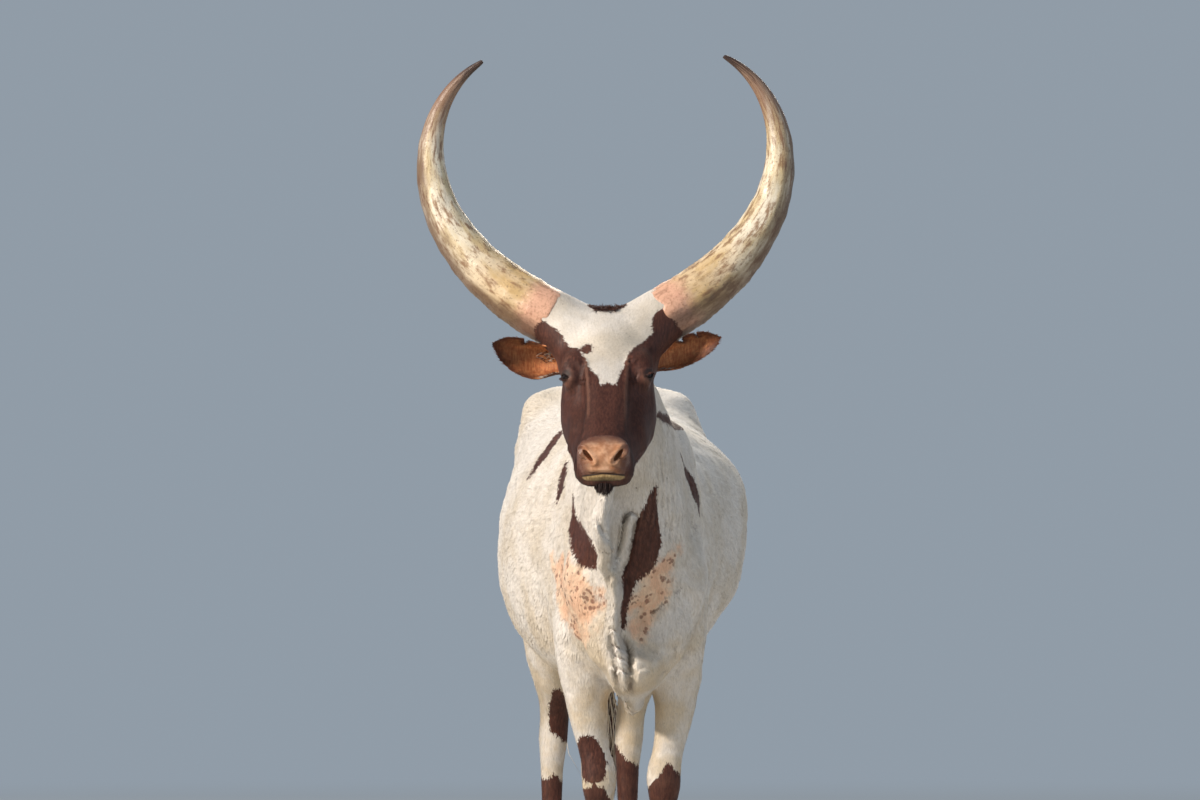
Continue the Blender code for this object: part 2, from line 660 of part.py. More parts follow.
def sculpted(obj):
    """Presses hollows into the fused skin and raises what lies under it."""
    points, _ = arrays_of(obj.data)
    normals = np.empty(len(points) * 3)
    obj.data.vertices.foreach_get("normal", normals)
    normals = normals.reshape(-1, 3)
    forms = [
        # name, frame, centre, radii, how far out
        ("hollow_flank", TRUNK_FRAME, (0.235, 0.93, 1.17), (0.10, 0.095, 0.085), -0.022),
        ("behind_the_hook", TRUNK_FRAME, (0.20, 1.13, 1.27), (0.08, 0.07, 0.06), -0.012),
        ("flank_fold", TRUNK_FRAME, (0.20, 0.93, 0.74), (0.12, 0.07, 0.12), -0.016),
        ("behind_the_elbow", TRUNK_FRAME, (0.19, 0.37, 0.76), (0.09, 0.045, 0.12), -0.014),
        ("before_the_shoulder", TRUNK_FRAME, (0.14, 0.03, 1.02), (0.08, 0.05, 0.14), -0.014),
        ("jugular_groove", TRUNK_FRAME, (0.09, -0.16, 0.96), (0.06, 0.10, 0.07), -0.010),
        ("rear_of_thigh", TRUNK_FRAME, (0.08, 1.40, 0.86), (0.05, 0.06, 0.16), -0.010),
        ("under_the_eye", HEAD_FRAME, (0.072, 0.255, -0.045), (0.03, 0.045, 0.03), -0.006),
        ("behind_the_jaw", HEAD_FRAME, (0.085, 0.085, -0.165), (0.04, 0.035, 0.05), -0.010),
    ]
    # The rumen fills the left flank high up, and the right flank is the slacker one.
    one_sided = [
        ("rumen", TRUNK_FRAME, (0.33, 0.66, 1.12), (0.14, 0.42, 0.14), 0.048),
        ("under_the_rumen", TRUNK_FRAME, (0.30, 0.66, 0.70), (0.14, 0.40, 0.10), -0.034),
        ("right_flank", TRUNK_FRAME, (-0.25, 0.74, 1.24), (0.12, 0.40, 0.12), 0.018),
    ]
    moved = np.zeros(len(points))
    for sides, group in (((1, -1), forms), ((1,), one_sided)):
        for _, frame, centre, radii, by in group:
            back = np.array(frame.inverted())
            local = points @ back[:3, :3].T + back[:3, 3]
            for side in sides:
                off = (local - np.array(centre) * (side, 1, 1)) / np.array(radii)
                moved += by * np.exp(-(off**2).sum(1))
    points += normals * moved[:, None]
    obj.data.vertices.foreach_set("co", points.ravel())
    obj.data.update()


def whole_animal():
    """Every mass of flesh fused into one skin, smoothed and brought to its facet count."""
    forms = [*trunk_forms(), *neck_forms(), *head_forms(), *leg_forms(), dewlap_form()]
    skin = joined("whole", forms)
    fuse = skin.modifiers.new("fuse", "REMESH")
    fuse.mode = "VOXEL"
    fuse.voxel_size = FUSE_GRAIN
    to_mesh(skin)
    relax(skin.data, 8)
    settle(skin.data, 56, blend_strength)
    sculpted(skin)
    relax(skin.data, 5)
    keep_fine(skin)
    facets = sum(len(p.vertices) - 2 for p in skin.data.polygons)
    thin = skin.modifiers.new("thin", "DECIMATE")
    thin.ratio = BODY_FACETS / facets
    thin.vertex_group = "coarse"
    thin.vertex_group_factor = 1.5e-5
    return to_mesh(skin)


def keep_fine(skin):
    """Weights that let the trunk go coarser than the head, dewlap and feet."""
    points, _ = arrays_of(skin.data)
    group = skin.vertex_groups.new(name="coarse")
    back = np.array(HEAD_FRAME.inverted())
    local = points @ back[:3, :3].T + back[:3, 3]
    face = (local[:, 1] > -0.06) & (local[:, 2] > -0.26) & (points[:, 1] < -0.36)
    weight = np.full(len(points), 1.0)
    weight[points[:, 2] < 0.5] = 0.8
    weight[face] = 0.2
    for value in np.unique(weight):
        group.add(np.flatnonzero(weight == value).tolist(), float(value), "REPLACE")


def convex(name, planes, by=0.0):
    """A convex solid bounded by planes, each a point on it and a normal that faces out of the
    solid. The planes can all be moved out by a little."""
    build = bmesh.new()
    bmesh.ops.create_cube(build, size=6)
    for point, normal in planes:
        normal = Vector(normal).normalized()
        made = bmesh.ops.bisect_plane(
            build,
            geom=[*build.verts, *build.edges, *build.faces],
            plane_co=Vector(point) + normal * by,
            plane_no=normal,
            clear_outer=True,
        )
        edges = [g for g in made["geom_cut"] if isinstance(g, bmesh.types.BMEdge)]
        if edges:
            bmesh.ops.contextual_create(build, geom=edges)
    bmesh.ops.recalc_face_normals(build, faces=build.faces)
    mesh = bpy.data.meshes.new(name)
    build.to_mesh(mesh)
    build.free()
    obj = bpy.data.objects.new(name, mesh)
    bpy.context.scene.collection.objects.link(obj)
    mesh.materials.append(material_of("hide_white"))
    return obj


def placed(planes, frame):
    """The planes carried from a plan into the animal."""
    turn = frame.to_3x3()
    return [(frame @ Vector(point), turn @ Vector(normal)) for point, normal in planes]


def part_off(rest, name, planes):
    """Parts the region inside the planes from the rest, with a thin gap. Returns the region."""
    inside = convex("inside", planes)
    around = convex("around", planes, GAP)
    region = copy_of(rest, name)
    cut(region, inside, "INTERSECT")
    cut(rest, around, "DIFFERENCE")
    remove(inside, around)
    return keep_largest(region)


def leg_planes(side, front, back, inner, low, high, lean=0.0):
    """Planes round a leg. It ends above in a slope that rises outward, from low to high."""
    slope = Vector((-(high[1] - low[1]) * side, 0, high[0] - low[0]))
    tilt = lean / 0.60
    return placed(
        [
            ((side * inner + lean * 0.5, 0, 0.68), (-side, 0, -side * tilt)),
            ((0, front, 0), (0, -1, 0)),
            ((0, back, 0), (0, 1, 0)),
            ((side * low[0] + lean * 0.5, 0, low[1]), slope),
        ],
        TRUNK_FRAME,
    )


# Where the dewlap parts from neck and breast, just below them in the middle plane.
DEWLAP_ROOT = [
    (0.40, 0.552),
    (0.16, 0.558),
    (-0.12, 0.548),
    (-0.235, 0.615),
    (-0.305, 0.735),
    (-0.462, 0.985),
    (-0.560, 1.095),
    (-0.680, 1.075),
]


def dewlap_prism(name, shift):
    """A slab that takes in all that lies below the dewlap's root line."""
    outline = [*DEWLAP_ROOT, (-1.0, 1.0), (-1.0, 0.2), (0.40, 0.2)]
    points = []
    for x in (-0.17, 0.11):
        points += [(x, y - shift, z - 1.2 * shift) for y, z in outline]
    count = len(outline)
    faces = [tuple(range(count)), tuple(reversed(range(count, 2 * count)))]
    for k in range(count):
        n = (k + 1) % count
        faces.append((k, count + k, count + n, n))
    return make(name, points, faces)


def claw(side, outer_claw, front, back, toe, centre, aside, name):
    """One of a foot's two horny claws. It stands on a flat sole, meets the skin in the sloping
    plane of the coronet, and its toe curves a little to the other claw."""
    inner_x, outer_x = (centre + 0.0025, centre + 0.0405) if outer_claw else (
        centre - 0.0405,
        centre - 0.0025,
    )
    cleft_is_low = outer_claw
    rings = []
    # height share, growth of the outline, how far the toe comes forward
    rows = [(0.0, -0.0035, 1.0), (0.10, 0.0, 0.97), (0.45, 0.0015, 0.55), (0.8, 0.0, 0.16)]
    rows.append((1.0, -0.0015, 0.0))
    for share, grow, forward in rows:
        ring = []
        for k in range(14):
            c, s = math.cos(2 * math.pi * k / 14), math.sin(2 * math.pi * k / 14)
            length = (front - toe) * forward
            y_front, y_back = front - length, back + 0.010 * math.sin(math.pi * share)
            y = (y_front + y_back) / 2 - c * ((y_back - y_front) / 2 + grow)
            nose = max(0, c)
            half = (outer_x - inner_x) / 2 + grow
            x = (inner_x + outer_x) / 2 + s * half * (1 - 0.28 * nose**2) ** (1 if s else 1)
            lean = 0.006 * nose**2 * forward
            x += -lean if cleft_is_low else lean
            top = coronet_height(y, front, back) - GAP
            ring.append((side * x + aside, y, share * top))
        rings.append(ring)
    return place(tube(name, rings, "hoof"), TRUNK_FRAME)


def coronet_height(y, front, back):
    """The coronet is higher in front than at the heel."""
    return 0.058 + (0.036 - 0.058) * (y - front) / (back - front)


def foot(side, front, back, toe, centre, aside, label, leg):
    """Claws and dewclaws for one leg, and the leg's end cut to fit them."""
    slope = 0.022 / (back - front)
    below = convex(
        "below",
        placed([((0, front, 0.058), (0, slope, 1))], TRUNK_FRAME),
    )
    cut(leg, below, "DIFFERENCE")
    remove(below)
    keep_largest(leg)
    claw(side, False, front, back, toe, centre, aside, f"claw_{label}_inner")
    claw(side, True, front, back, toe, centre, aside, f"claw_{label}_outer")
    around = grown(leg, "around", GAP)
    for where, across in (("inner", -0.021), ("outer", 0.021)):
        root = Vector((side * (centre + across * 0.9) + aside, back + 0.013, 0.130))
        tip = Vector((side * (centre + across * 1.2) + aside, back + 0.032, 0.106))
        centres = [root.lerp(tip, t) for t in (0, 0.4, 0.85, 1)]
        spur = swept(f"dewclaw_{label}_{where}", centres, [0.011, 0.0110, 0.0078, 0.003], 8)
        place(spur, TRUNK_FRAME)
        spur.data.materials[0] = material_of("hoof")
        cut(spur, around, "DIFFERENCE")
        keep_largest(spur)
    remove(around)


def eye_lid_and_socket(head, side, name):
    """A ball in an open socket. The lids are a thin cover over it with an almond opening."""
    centre = Vector((side * EYE_PLACE.x, EYE_PLACE.y, EYE_PLACE.z))
    look = Vector((side * EYE_LOOK.x, EYE_LOOK.y, EYE_LOOK.z))
    aim = Matrix.Translation(centre) @ look.to_track_quat("Z", "Y").to_matrix().to_4x4()
    cover = ball("cover", EYE_RADIUS + 0.0035, 20, 12)
    socket = ball("socket", EYE_RADIUS + 2 * GAP, 20, 12)
    for tool in (cover, socket):
        place(tool, HEAD_FRAME @ aim)
    # Two overlapping cylinders along the gaze meet in an almond.
    arcs = []
    along = look.cross(Vector((0, 0, 1))).normalized()
    for up in (1, -1):
        offset = 0.0140 * up
        points = []
        for depth in (0.0, 0.05):
            for k in range(32):
                a = 2 * math.pi * k / 32
                points.append((0.0218 * math.cos(a), 0.0218 * math.sin(a) + offset, depth))
        rings = [points[:32], points[32:]]
        arcs.append(tube("arc", rings))
    opening, other = arcs
    cut(opening, other, "INTERSECT")
    upright = aim_matrix(centre, look)
    place(opening, HEAD_FRAME @ upright)
    cut(head, cover, "UNION")
    cut(head, socket, "DIFFERENCE")
    cut(head, opening, "DIFFERENCE")
    remove(cover, socket, opening, other)
    eye = ball(name, EYE_RADIUS, 18, 10)
    place(eye, HEAD_FRAME @ aim)
    eye.data.materials[0] = material_of("eye")


def aim_matrix(centre, look):
    """A frame at the centre whose Z looks out and whose X runs level to the inner corner."""
    along = Vector((0, 0.77, 0.64))
    along = (along - look * along.dot(look)).normalized()
    up = look.cross(along)
    return Matrix.Translation(centre) @ Matrix((along, up, look)).transposed().to_4x4()


def ball(name, radius, around, rings):
    build = bmesh.new()
    bmesh.ops.create_uvsphere(build, u_segments=around, v_segments=rings, radius=radius)
    mesh = bpy.data.meshes.new(name)
    build.to_mesh(mesh)
    build.free()
    obj = bpy.data.objects.new(name, mesh)
    bpy.context.scene.collection.objects.link(obj)
    mesh.materials.append(material_of("hide_white"))
    return obj


def surface_of(obj):
    """A tree for finding where a ray meets the object."""
    from mathutils.bvhtree import BVHTree

    return BVHTree.FromObject(obj, bpy.context.evaluated_depsgraph_get())


def mouth_groove(head):
    """The line between the lips, pressed in from cheek to cheek round the muzzle."""
    tree = surface_of(head)
    path = []
    turn = HEAD_FRAME.to_3x3()
    for k in range(25):
        share = k / 12 - 1
        # Rays come in level round the muzzle, then from the side along the lips.
        angle = math.radians(90) * min(1, abs(share) * 1.9)
        back = max(0, abs(share) - 0.42) / 0.58
        height = -0.071 - 0.012 * min(1, abs(share) * 2.4) ** 2 - 0.030 * back**1.3
        core = Vector((0, 0.440 - 0.085 * back, height))
        out = Vector((math.copysign(math.sin(angle), share), math.cos(angle), 0))
        origin = HEAD_FRAME @ (core + out * 0.2)
        hit = tree.ray_cast(origin, -(turn @ out))[0]
        if hit:
            path.append((hit, turn @ out))
    rings = []
    for i, (hit, out) in enumerate(path):
        along = (path[min(i + 1, len(path) - 1)][0] - path[max(i - 1, 0)][0]).normalized()
        up = along.cross(out).normalized()
        ends = min(i, len(path) - 1 - i)
        size = 0.35 + 0.65 * min(1, ends / 4)
        deep, wide = 0.0065 * size, 0.0042 * size
        rings.append([hit + up * wide + out * 0.004, hit - out * deep, hit - up * wide + out * 0.004])
    groove = tube("groove", rings)
    cut(head, groove, "DIFFERENCE")
    remove(groove)


def nostrils(head):
    for side in (1, -1):
        for centre, radii, turn in (
            ((0.0315, 0.470, -0.014), (0.0085, 0.026, 0.0110), (38, 0, 14)),
            ((0.0435, 0.462, -0.024), (0.0065, 0.022, 0.0085), (30, 0, 30)),
        ):
            hole = blob("hole", centre, radii, turn, 2)
            if side < 0:
                place(hole, Matrix.Diagonal((-1, 1, 1, 1)))
            place(hole, HEAD_FRAME)
            cut(head, hole, "DIFFERENCE")
            remove(hole)


def horn(side, name):
    centres, radii = horn_line(side, [GAP, 0.003, *np.linspace(0.03, HORN_ARC, 21)])
    made = swept(name, centres, radii, 18, side=(0, 1, 0))
    made.data.materials[0] = material_of("horn")
    return made


def trim_horn_root(head, side):
    """Ends the fleshy horn root in the plane where the horn begins."""
    (start, ahead), _ = horn_line(side, [0, 0.003])
    along = (ahead - start).normalized()
    across = Vector((0, 1, 0))
    up = along.cross(across).normalized()
    planes = [(start, -along), (start + along * 0.2, along)]
    for way in (up, -up, across, -across):
        planes.append((start + way * 0.105, way))
    stub = convex("stub", planes)
    cut(head, stub, "DIFFERENCE")
    remove(stub)


EAR = [
    # share of length, half height, angle of the cup, wall
    (0.00, 0.017, 165, 0.0070),
    (0.12, 0.021, 150, 0.0065),
    (0.26, 0.037, 108, 0.0060),
    (0.44, 0.048, 84, 0.0055),
    (0.62, 0.047, 70, 0.0050),
    (0.78, 0.039, 60, 0.0045),
    (0.90, 0.026, 52, 0.0040),
    (0.97, 0.012, 46, 0.0034),
    (1.00, 0.004, 42, 0.0026),
]
# The set of each ear: rise, spread of its height, bend of its middle and lift of its root.
EAR_SET = {1: (0.42, 0.70, 0.004, 0.0), -1: (0.29, 0.97, -0.011, 0.010)}
# Notches in the upper edge of each ear: share of length, width and depth.
EAR_NOTCHES = {1: [(0.55, 0.020, 0.017), (0.74, 0.008, 0.014)], -1: [(0.62, 0.016, 0.019)]}


def ear(side, name, head, own_horn):
    """A cupped leaf that opens forward and a little down, with its edge notched."""
    rise, spread, bend, lift = EAR_SET[side]
    root = HEAD_FRAME @ Vector((side * 0.088, 0.103, -0.107)) + Vector((0, 0, lift))
    out = Vector((side * 0.92, -0.09, rise)).normalized()
    opens = Vector((side * 0.10, -0.96, -0.26))
    opens = (opens - out * opens.dot(out)).normalized()
    up = out.cross(opens) * side
    up = up if up.z > 0 else -up
    shares = [row[0] for row in EAR]
    at = np.concatenate([np.linspace(0, 0.88, 10), [0.95, 1.0]])
    rows = spline(shares, [row[1:] for row in EAR], at)
    rings = []
    for share, (half, angle, wall) in zip(at, rows):
        half *= spread * (1 + 0.22 * share * (side > 0))
        centre = root + out * (share * EAR_LENGTH) - opens * 0.004
        centre = centre + up * bend * math.sin(math.pi * share)
        half_turn = math.radians(angle)
        radius = half / math.sin(min(half_turn, math.pi / 2))
        ring = []
        for radial, steps in ((radius, range(9)), (radius - wall, reversed(range(9)))):
            for k in steps:
                a = half_turn * (k / 4 - 1)
                thin = 0.55 * wall * abs(k / 4 - 1) ** 3
                r = radial - thin if radial == radius else radial
                # The middle of the cup lies at the back.
                shift = radius * math.cos(half_turn) * 0.5
                ring.append(centre + up * (r * math.sin(a)) - opens * (r * math.cos(a) - shift))
        rings.append(ring)
    made = tube(name, rings, "ear_hide")
    for share, wide, deep in EAR_NOTCHES[side]:
        half = float(spline(shares, [row[1] for row in EAR], [share])[0, 0]) * spread
        edge = half + bend * math.sin(math.pi * share)
        tip = root + out * (share * EAR_LENGTH) + up * (edge - deep)
        corners = []
        for y in (-0.08, 0.08):
            ridge = tip + opens * y
            top = tip + opens * y + up * (deep + 0.02)
            flare = wide / 2 * (deep + 0.02) / deep
            corners += [ridge - out * 0.001, ridge + out * 0.001]
            corners += [top + out * flare, top - out * flare]
        wedge = wedge_box("wedge", corners)
        cut(made, wedge, "DIFFERENCE")
        remove(wedge)
    for other, by in ((head, GAP), (own_horn, 0.002)):
        around = grown(other, "around", by)
        cut(made, around, "DIFFERENCE")
        remove(around)
    return keep_largest(made)


def tail(torso, legs):
    """The tail hangs straight from its dock behind the rump."""
    centres, radii = tail_line([DOCK, DOCK + 0.004, *np.linspace(DOCK + 0.03, 1, 20)])
    centres[0] += (centres[1] - centres[0]).normalized() * GAP
    made = place(swept("tail", centres, radii, 12), TRUNK_FRAME)
    for body in (torso, *legs):
        around = grown(body, "around", GAP)
        cut(made, around, "DIFFERENCE")
        remove(around)
    return keep_largest(made)


def switch(stem):
    """The tail's tuft of long hair: a core wrapped in flat locks that taper to their tips."""
    rng = np.random.default_rng(7)
    start = tail_line([1.0])[0][0]
    centres = [start + Vector((0, 0, z)) for z in (0.085, 0.05, 0.0, -0.06, -0.12, -0.16)]
    core = swept("tail_switch", centres, [0.017, 0.022, 0.027, 0.027, 0.018, 0.005], 10)
    locks = []
    for k in range(15):
        angle = 2 * math.pi * (k * 0.381966)
        out = Vector((math.cos(angle), math.sin(angle), 0))
        top = 0.070 - 0.085 * (k / 16) + rng.uniform(-0.01, 0.01)
        length = rng.uniform(0.24, 0.30) + 0.05 * (k / 16)
        sway = Vector((rng.uniform(-0.012, 0.012), rng.uniform(-0.012, 0.012), 0))
        rings = []
        for j in range(6):
            t = j / 5
            bulge = 0.017 + 0.016 * math.sin(math.pi * min(1, t * 1.25)) - 0.010 * t
            centre = start + out * bulge + sway * t**2 + Vector((0, 0, top - length * t))
            wide = 0.0145 * (1 - t**2.2) + 0.0012
            thick = 0.0052 * (1 - t**2) + 0.0009
            side = Vector((-out.y, out.x, 0))
            ring = []
            for m in range(4):
                a = 2 * math.pi * m / 4
                ring.append(centre + side * math.cos(a) * wide + out * math.sin(a) * thick)
            rings.append(ring)
        locks.append(tube("lock", rings))
    for lock in locks:
        cut(core, lock, "UNION")
    remove(*locks)
    place(core, TRUNK_FRAME)
    around = grown(stem, "around", GAP)
    cut(core, around, "DIFFERENCE")
    remove(around)
    core.data.materials.clear()
    core.data.materials.append(material_of("tail_hair"))
    return keep_largest(core)


def udder(torso, legs):
    """A small udder with four teats, tucked up between the thighs."""
    bag = blob("udder", (0, 1.085, 0.690), (0.062, 0.120, 0.075), fineness=2)
    for side in (1, -1):
        for along in (1.045, 1.120):
            root = Vector((side * 0.030, along, 0.655))
            tip = root + Vector((side * 0.006, 0, -0.075))
            centres = [root.lerp(tip, t) for t in (0, 0.5, 0.92, 1)]
            teat = swept("teat", centres, [0.012, 0.010, 0.0085, 0.004], 8)
            cut(bag, teat, "UNION")
            remove(teat)
    place(bag, TRUNK_FRAME)
    for body in (torso, *legs):
        around = grown(body, "around", GAP)
        cut(bag, around, "DIFFERENCE")
        remove(around)
    bag.data.materials.clear()
    bag.data.materials.append(material_of("teat_skin"))
    return keep_largest(bag)


rest = whole_animal()
rest.name = "torso"
for side in (1, -1):
    trim_horn_root(rest, side)
trim_dock(rest)
legs = []
for side, word in ((1, "left"), (-1, "right")):
    fore_planes = leg_planes(side, 0.02, 0.45, 0.034, (0.05, 0.555), (0.22, 0.725))
    fore = part_off(rest, f"fore_leg_{word}", fore_planes)
    foot(side, 0.168, 0.254, 0.132, 0.078, 0, f"fore_{word}", fore)
    hind_planes = leg_planes(side, 0.925, 1.60, 0.018, (0.04, 0.665), (0.26, 1.010), HIND_LEAN)
    hind = part_off(rest, f"hind_leg_{word}", hind_planes)
    foot(side, 1.168, 1.262, 1.138, 0.0985, HIND_LEAN, f"hind_{word}", hind)
    legs += [fore, hind]

inside = dewlap_prism("inside", GAP)
around = dewlap_prism("around", 0)
dewlap = copy_of(rest, "dewlap")
cut(dewlap, inside, "INTERSECT")
keep_largest(dewlap)
cut(rest, around, "DIFFERENCE")
remove(inside, around)
keep_largest(rest)

head = part_off(rest, "head", [((0, -0.425, 1.46), (0, 0.975, -0.222))])
neck = part_off(rest, "neck", [((0, -0.15, 1.05), (0, 0.882, -0.47))])
keep_largest(rest)

for side, word in ((1, "left"), (-1, "right")):
    eye_lid_and_socket(head, side, f"eye_{word}")
nostrils(head)
mouth_groove(head)
keep_largest(head)
for side, word in ((1, "left"), (-1, "right")):
    own_horn = horn(side, f"horn_{word}")
    ear(side, f"ear_{word}", head, own_horn)
stem = tail(rest, legs)
switch(stem)
udder(rest, legs)

# The whole stands with the middle of its outline over the origin.
pieces = list(bpy.context.scene.objects)
low = np.min([np.min([v.co for v in o.data.vertices], axis=0) for o in pieces], axis=0)
high = np.max([np.max([v.co for v in o.data.vertices], axis=0) for o in pieces], axis=0)
shift = Matrix.Translation((-(low[0] + high[0]) / 2, -(low[1] + high[1]) / 2, -low[2]))
for piece in pieces:
    place(piece, shift)
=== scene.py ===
import math

import bpy
import numpy as np
from mathutils import Matrix, Vector
from mathutils.bvhtree import BVHTree
from mathutils.kdtree import KDTree


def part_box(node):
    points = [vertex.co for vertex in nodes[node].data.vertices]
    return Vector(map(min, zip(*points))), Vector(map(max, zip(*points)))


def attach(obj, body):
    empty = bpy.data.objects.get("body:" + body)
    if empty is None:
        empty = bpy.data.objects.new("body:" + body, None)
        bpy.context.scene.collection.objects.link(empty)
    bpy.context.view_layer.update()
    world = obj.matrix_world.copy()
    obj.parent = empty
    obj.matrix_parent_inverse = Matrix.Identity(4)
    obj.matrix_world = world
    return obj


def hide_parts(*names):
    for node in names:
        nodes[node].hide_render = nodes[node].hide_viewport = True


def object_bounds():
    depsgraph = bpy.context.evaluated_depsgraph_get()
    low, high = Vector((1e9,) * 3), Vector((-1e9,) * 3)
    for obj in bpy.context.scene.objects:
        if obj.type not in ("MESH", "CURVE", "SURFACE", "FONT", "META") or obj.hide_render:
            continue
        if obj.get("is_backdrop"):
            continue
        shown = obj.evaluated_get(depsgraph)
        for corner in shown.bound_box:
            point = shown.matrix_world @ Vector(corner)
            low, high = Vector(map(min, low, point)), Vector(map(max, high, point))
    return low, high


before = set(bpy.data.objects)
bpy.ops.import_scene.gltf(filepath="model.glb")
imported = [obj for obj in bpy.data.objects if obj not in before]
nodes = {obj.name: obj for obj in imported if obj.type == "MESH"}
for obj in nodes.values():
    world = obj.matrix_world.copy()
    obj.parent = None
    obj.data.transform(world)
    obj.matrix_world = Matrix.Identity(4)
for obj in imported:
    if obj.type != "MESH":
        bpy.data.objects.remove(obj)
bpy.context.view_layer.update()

# The camera stands level with the cow's breast, a long way in front, and is tipped up a little.
# Its long lens keeps the horns and the feet at nearly one scale.
bpy.ops.object.camera_add(location=(-0.0123, -11.8466, 0.675), rotation=(math.radians(92.97), 0, 0))
camera = bpy.context.object
camera.data.lens = 145
bpy.context.scene.camera = camera

# The hide. One skin covers head, neck, trunk, dewlap, udder, legs and tail, fused from the solids
# of the flesh so that no seam shows, and it lies inside them by the depth of the coat.
FLESH = ("torso", "neck", "head", "dewlap", "udder", "tail")
LEGS = ("fore_leg_left", "fore_leg_right", "hind_leg_left", "hind_leg_right")
GRAIN = 0.006
POLL = Vector((0.0039, -0.7466, 1.4630))
FACE_PITCH = math.radians(42)
HEAD_TURN = math.radians(-1.5)
HEAD_ROLL = math.radians(-1.1)
EYE_PLACE = (0.0815, 0.192, -0.031)
# From the head's own plan to the animal: across it, down the face to the lips, and out of the face.
down_the_face = Vector((0, -math.sin(FACE_PITCH), -math.cos(FACE_PITCH)))
out_of_the_face = Vector((0, -math.cos(FACE_PITCH), math.sin(FACE_PITCH)))
face_axes = Matrix((Vector((1, 0, 0)), down_the_face, out_of_the_face)).transposed().to_4x4()
SKULL = Matrix.Translation(POLL) @ Matrix.Rotation(HEAD_TURN, 4, "Z")
SKULL = SKULL @ Matrix.Rotation(HEAD_ROLL, 4, "Y")
HEAD = SKULL @ face_axes


def fused_copy(names, label):
    """One new mesh piece from copies of some solids, with their loose triangles merged."""
    bpy.ops.object.select_all(action="DESELECT")
    for name in names:
        nodes[name].select_set(True)
    bpy.context.view_layer.objects.active = nodes[names[0]]
    bpy.ops.object.duplicate()
    if len(names) > 1:
        bpy.ops.object.join()
    piece = bpy.context.object
    for key in list(piece.keys()):
        del piece[key]
    piece.name = label
    piece.data.materials.clear()
    bpy.ops.object.mode_set(mode="EDIT")
    bpy.ops.mesh.select_all(action="SELECT")
    bpy.ops.mesh.remove_doubles(threshold=0.00001)
    bpy.ops.object.mode_set(mode="OBJECT")
    return piece


def finish_with(piece, kind, **settings):
    """Adds one modifier with its settings and applies it."""
    bpy.ops.object.select_all(action="DESELECT")
    piece.select_set(True)
    bpy.context.view_layer.objects.active = piece
    bpy.ops.object.modifier_add(type=kind)
    modifier = piece.modifiers[-1]
    for name, value in settings.items():
        setattr(modifier, name, value)
    bpy.ops.object.modifier_apply(modifier=modifier.name)


def points_of(piece):
    """The vertices' places, one row each."""
    points = np.empty(len(piece.data.vertices) * 3)
    piece.data.vertices.foreach_get("co", points)
    return points.reshape(-1, 3)


def normals_of(piece):
    """The vertices' normals, one row each."""
    normals = np.empty(len(piece.data.vertices) * 3)
    piece.data.vertex_normals.foreach_get("vector", normals)
    return normals.reshape(-1, 3)


def move_points(piece, points):
    """Puts the vertices at these places."""
    piece.data.vertices.foreach_set("co", points.ravel())
    piece.data.update()


def pairs_of(piece):
    """The two ends of each edge."""
    pairs = np.empty(len(piece.data.edges) * 2, np.int32)
    piece.data.edges.foreach_get("vertices", pairs)
    return pairs.reshape(-1, 2)


def neighbour_mean(values, pairs):
    """The mean of each vertex's neighbours."""
    count = len(values)
    ends = np.concatenate([pairs[:, 0], pairs[:, 1]])
    others = np.concatenate([pairs[:, 1], pairs[:, 0]])
    degree = np.maximum(np.bincount(ends, minlength=count), 1)
    columns = [np.bincount(ends, weights=values[others, k], minlength=count) for k in range(3)]
    return np.stack(columns, axis=1) / degree[:, None]


def settle(points, pairs, rounds, strength):
    """Plain smoothing whose strength differs from point to point."""
    for _ in range(rounds):
        points = points + strength[:, None] * (neighbour_mean(points, pairs) - points)
    return points


def step(values, low, high):
    """0 below low, 1 above high and a soft rise between."""
    t = np.clip((values - low) / (high - low), 0, 1)
    return t * t * (3 - 2 * t)


def swell(gap, wide):
    """1 where the gap is 0, falling softly to nearly 0 two widths away."""
    return np.exp(-((gap / wide) ** 2))


def in_head(points):
    """Points in the head's own plan: across it, down the face, and out of the face."""
    back = np.array(HEAD.inverted())
    return points @ back[:3, :3].T + back[:3, 3]


def split_fine(piece, wanted):
    """Splits the faces whose corners are all wanted."""
    faces = piece.data.polygons
    piece.data.vertices.foreach_set("select", wanted)
    ends = pairs_of(piece)
    piece.data.edges.foreach_set("select", wanted[ends].all(axis=1))
    corners = np.empty(len(piece.data.loops), np.int32)
    piece.data.loops.foreach_get("vertex_index", corners)
    starts = np.empty(len(faces), np.int32)
    faces.foreach_get("loop_start", starts)
    faces.foreach_set("select", np.minimum.reduceat(wanted[corners].astype(np.int32), starts) > 0)
    bpy.ops.object.select_all(action="DESELECT")
    piece.select_set(True)
    bpy.context.view_layer.objects.active = piece
    bpy.ops.object.mode_set(mode="EDIT")
    bpy.ops.mesh.subdivide(number_cuts=1)
    bpy.ops.object.mode_set(mode="OBJECT")


hide = fused_copy(FLESH + LEGS + ("eye_left", "eye_right"), "hide")
# The solids stand a hair's breadth apart, so they swell by more than that before they fuse.
finish_with(hide, "DISPLACE", mid_level=0, strength=0.0007)
finish_with(hide, "REMESH", mode="VOXEL", voxel_size=GRAIN)

# The seams are smoothed, most on the trunk, and least on face, feet, dewlap and rump.
points = points_of(hide)
face = in_head(points)
x, y, z = points.T
soft = 0.55 * step(z, 0.30, 0.75)
on_face = step(face[:, 2], -0.26, -0.22) * step(-y, 0.64, 0.70) * step(z, 1.0, 1.06)
soft *= 1 - on_face * (0.80 + 0.14 * step(face[:, 1], 0.10, 0.16))
fold = step(-y, 0.28, 0.33) * (1 - step(z, 1.08, 1.11)) * (1 - step(np.abs(x - 0.02), 0.05, 0.08))
rear = step(y, 0.94, 0.99)
soft *= 1 - 0.85 * np.maximum(fold, rear)
pairs = pairs_of(hide)
points = settle(points, pairs, 40, soft)
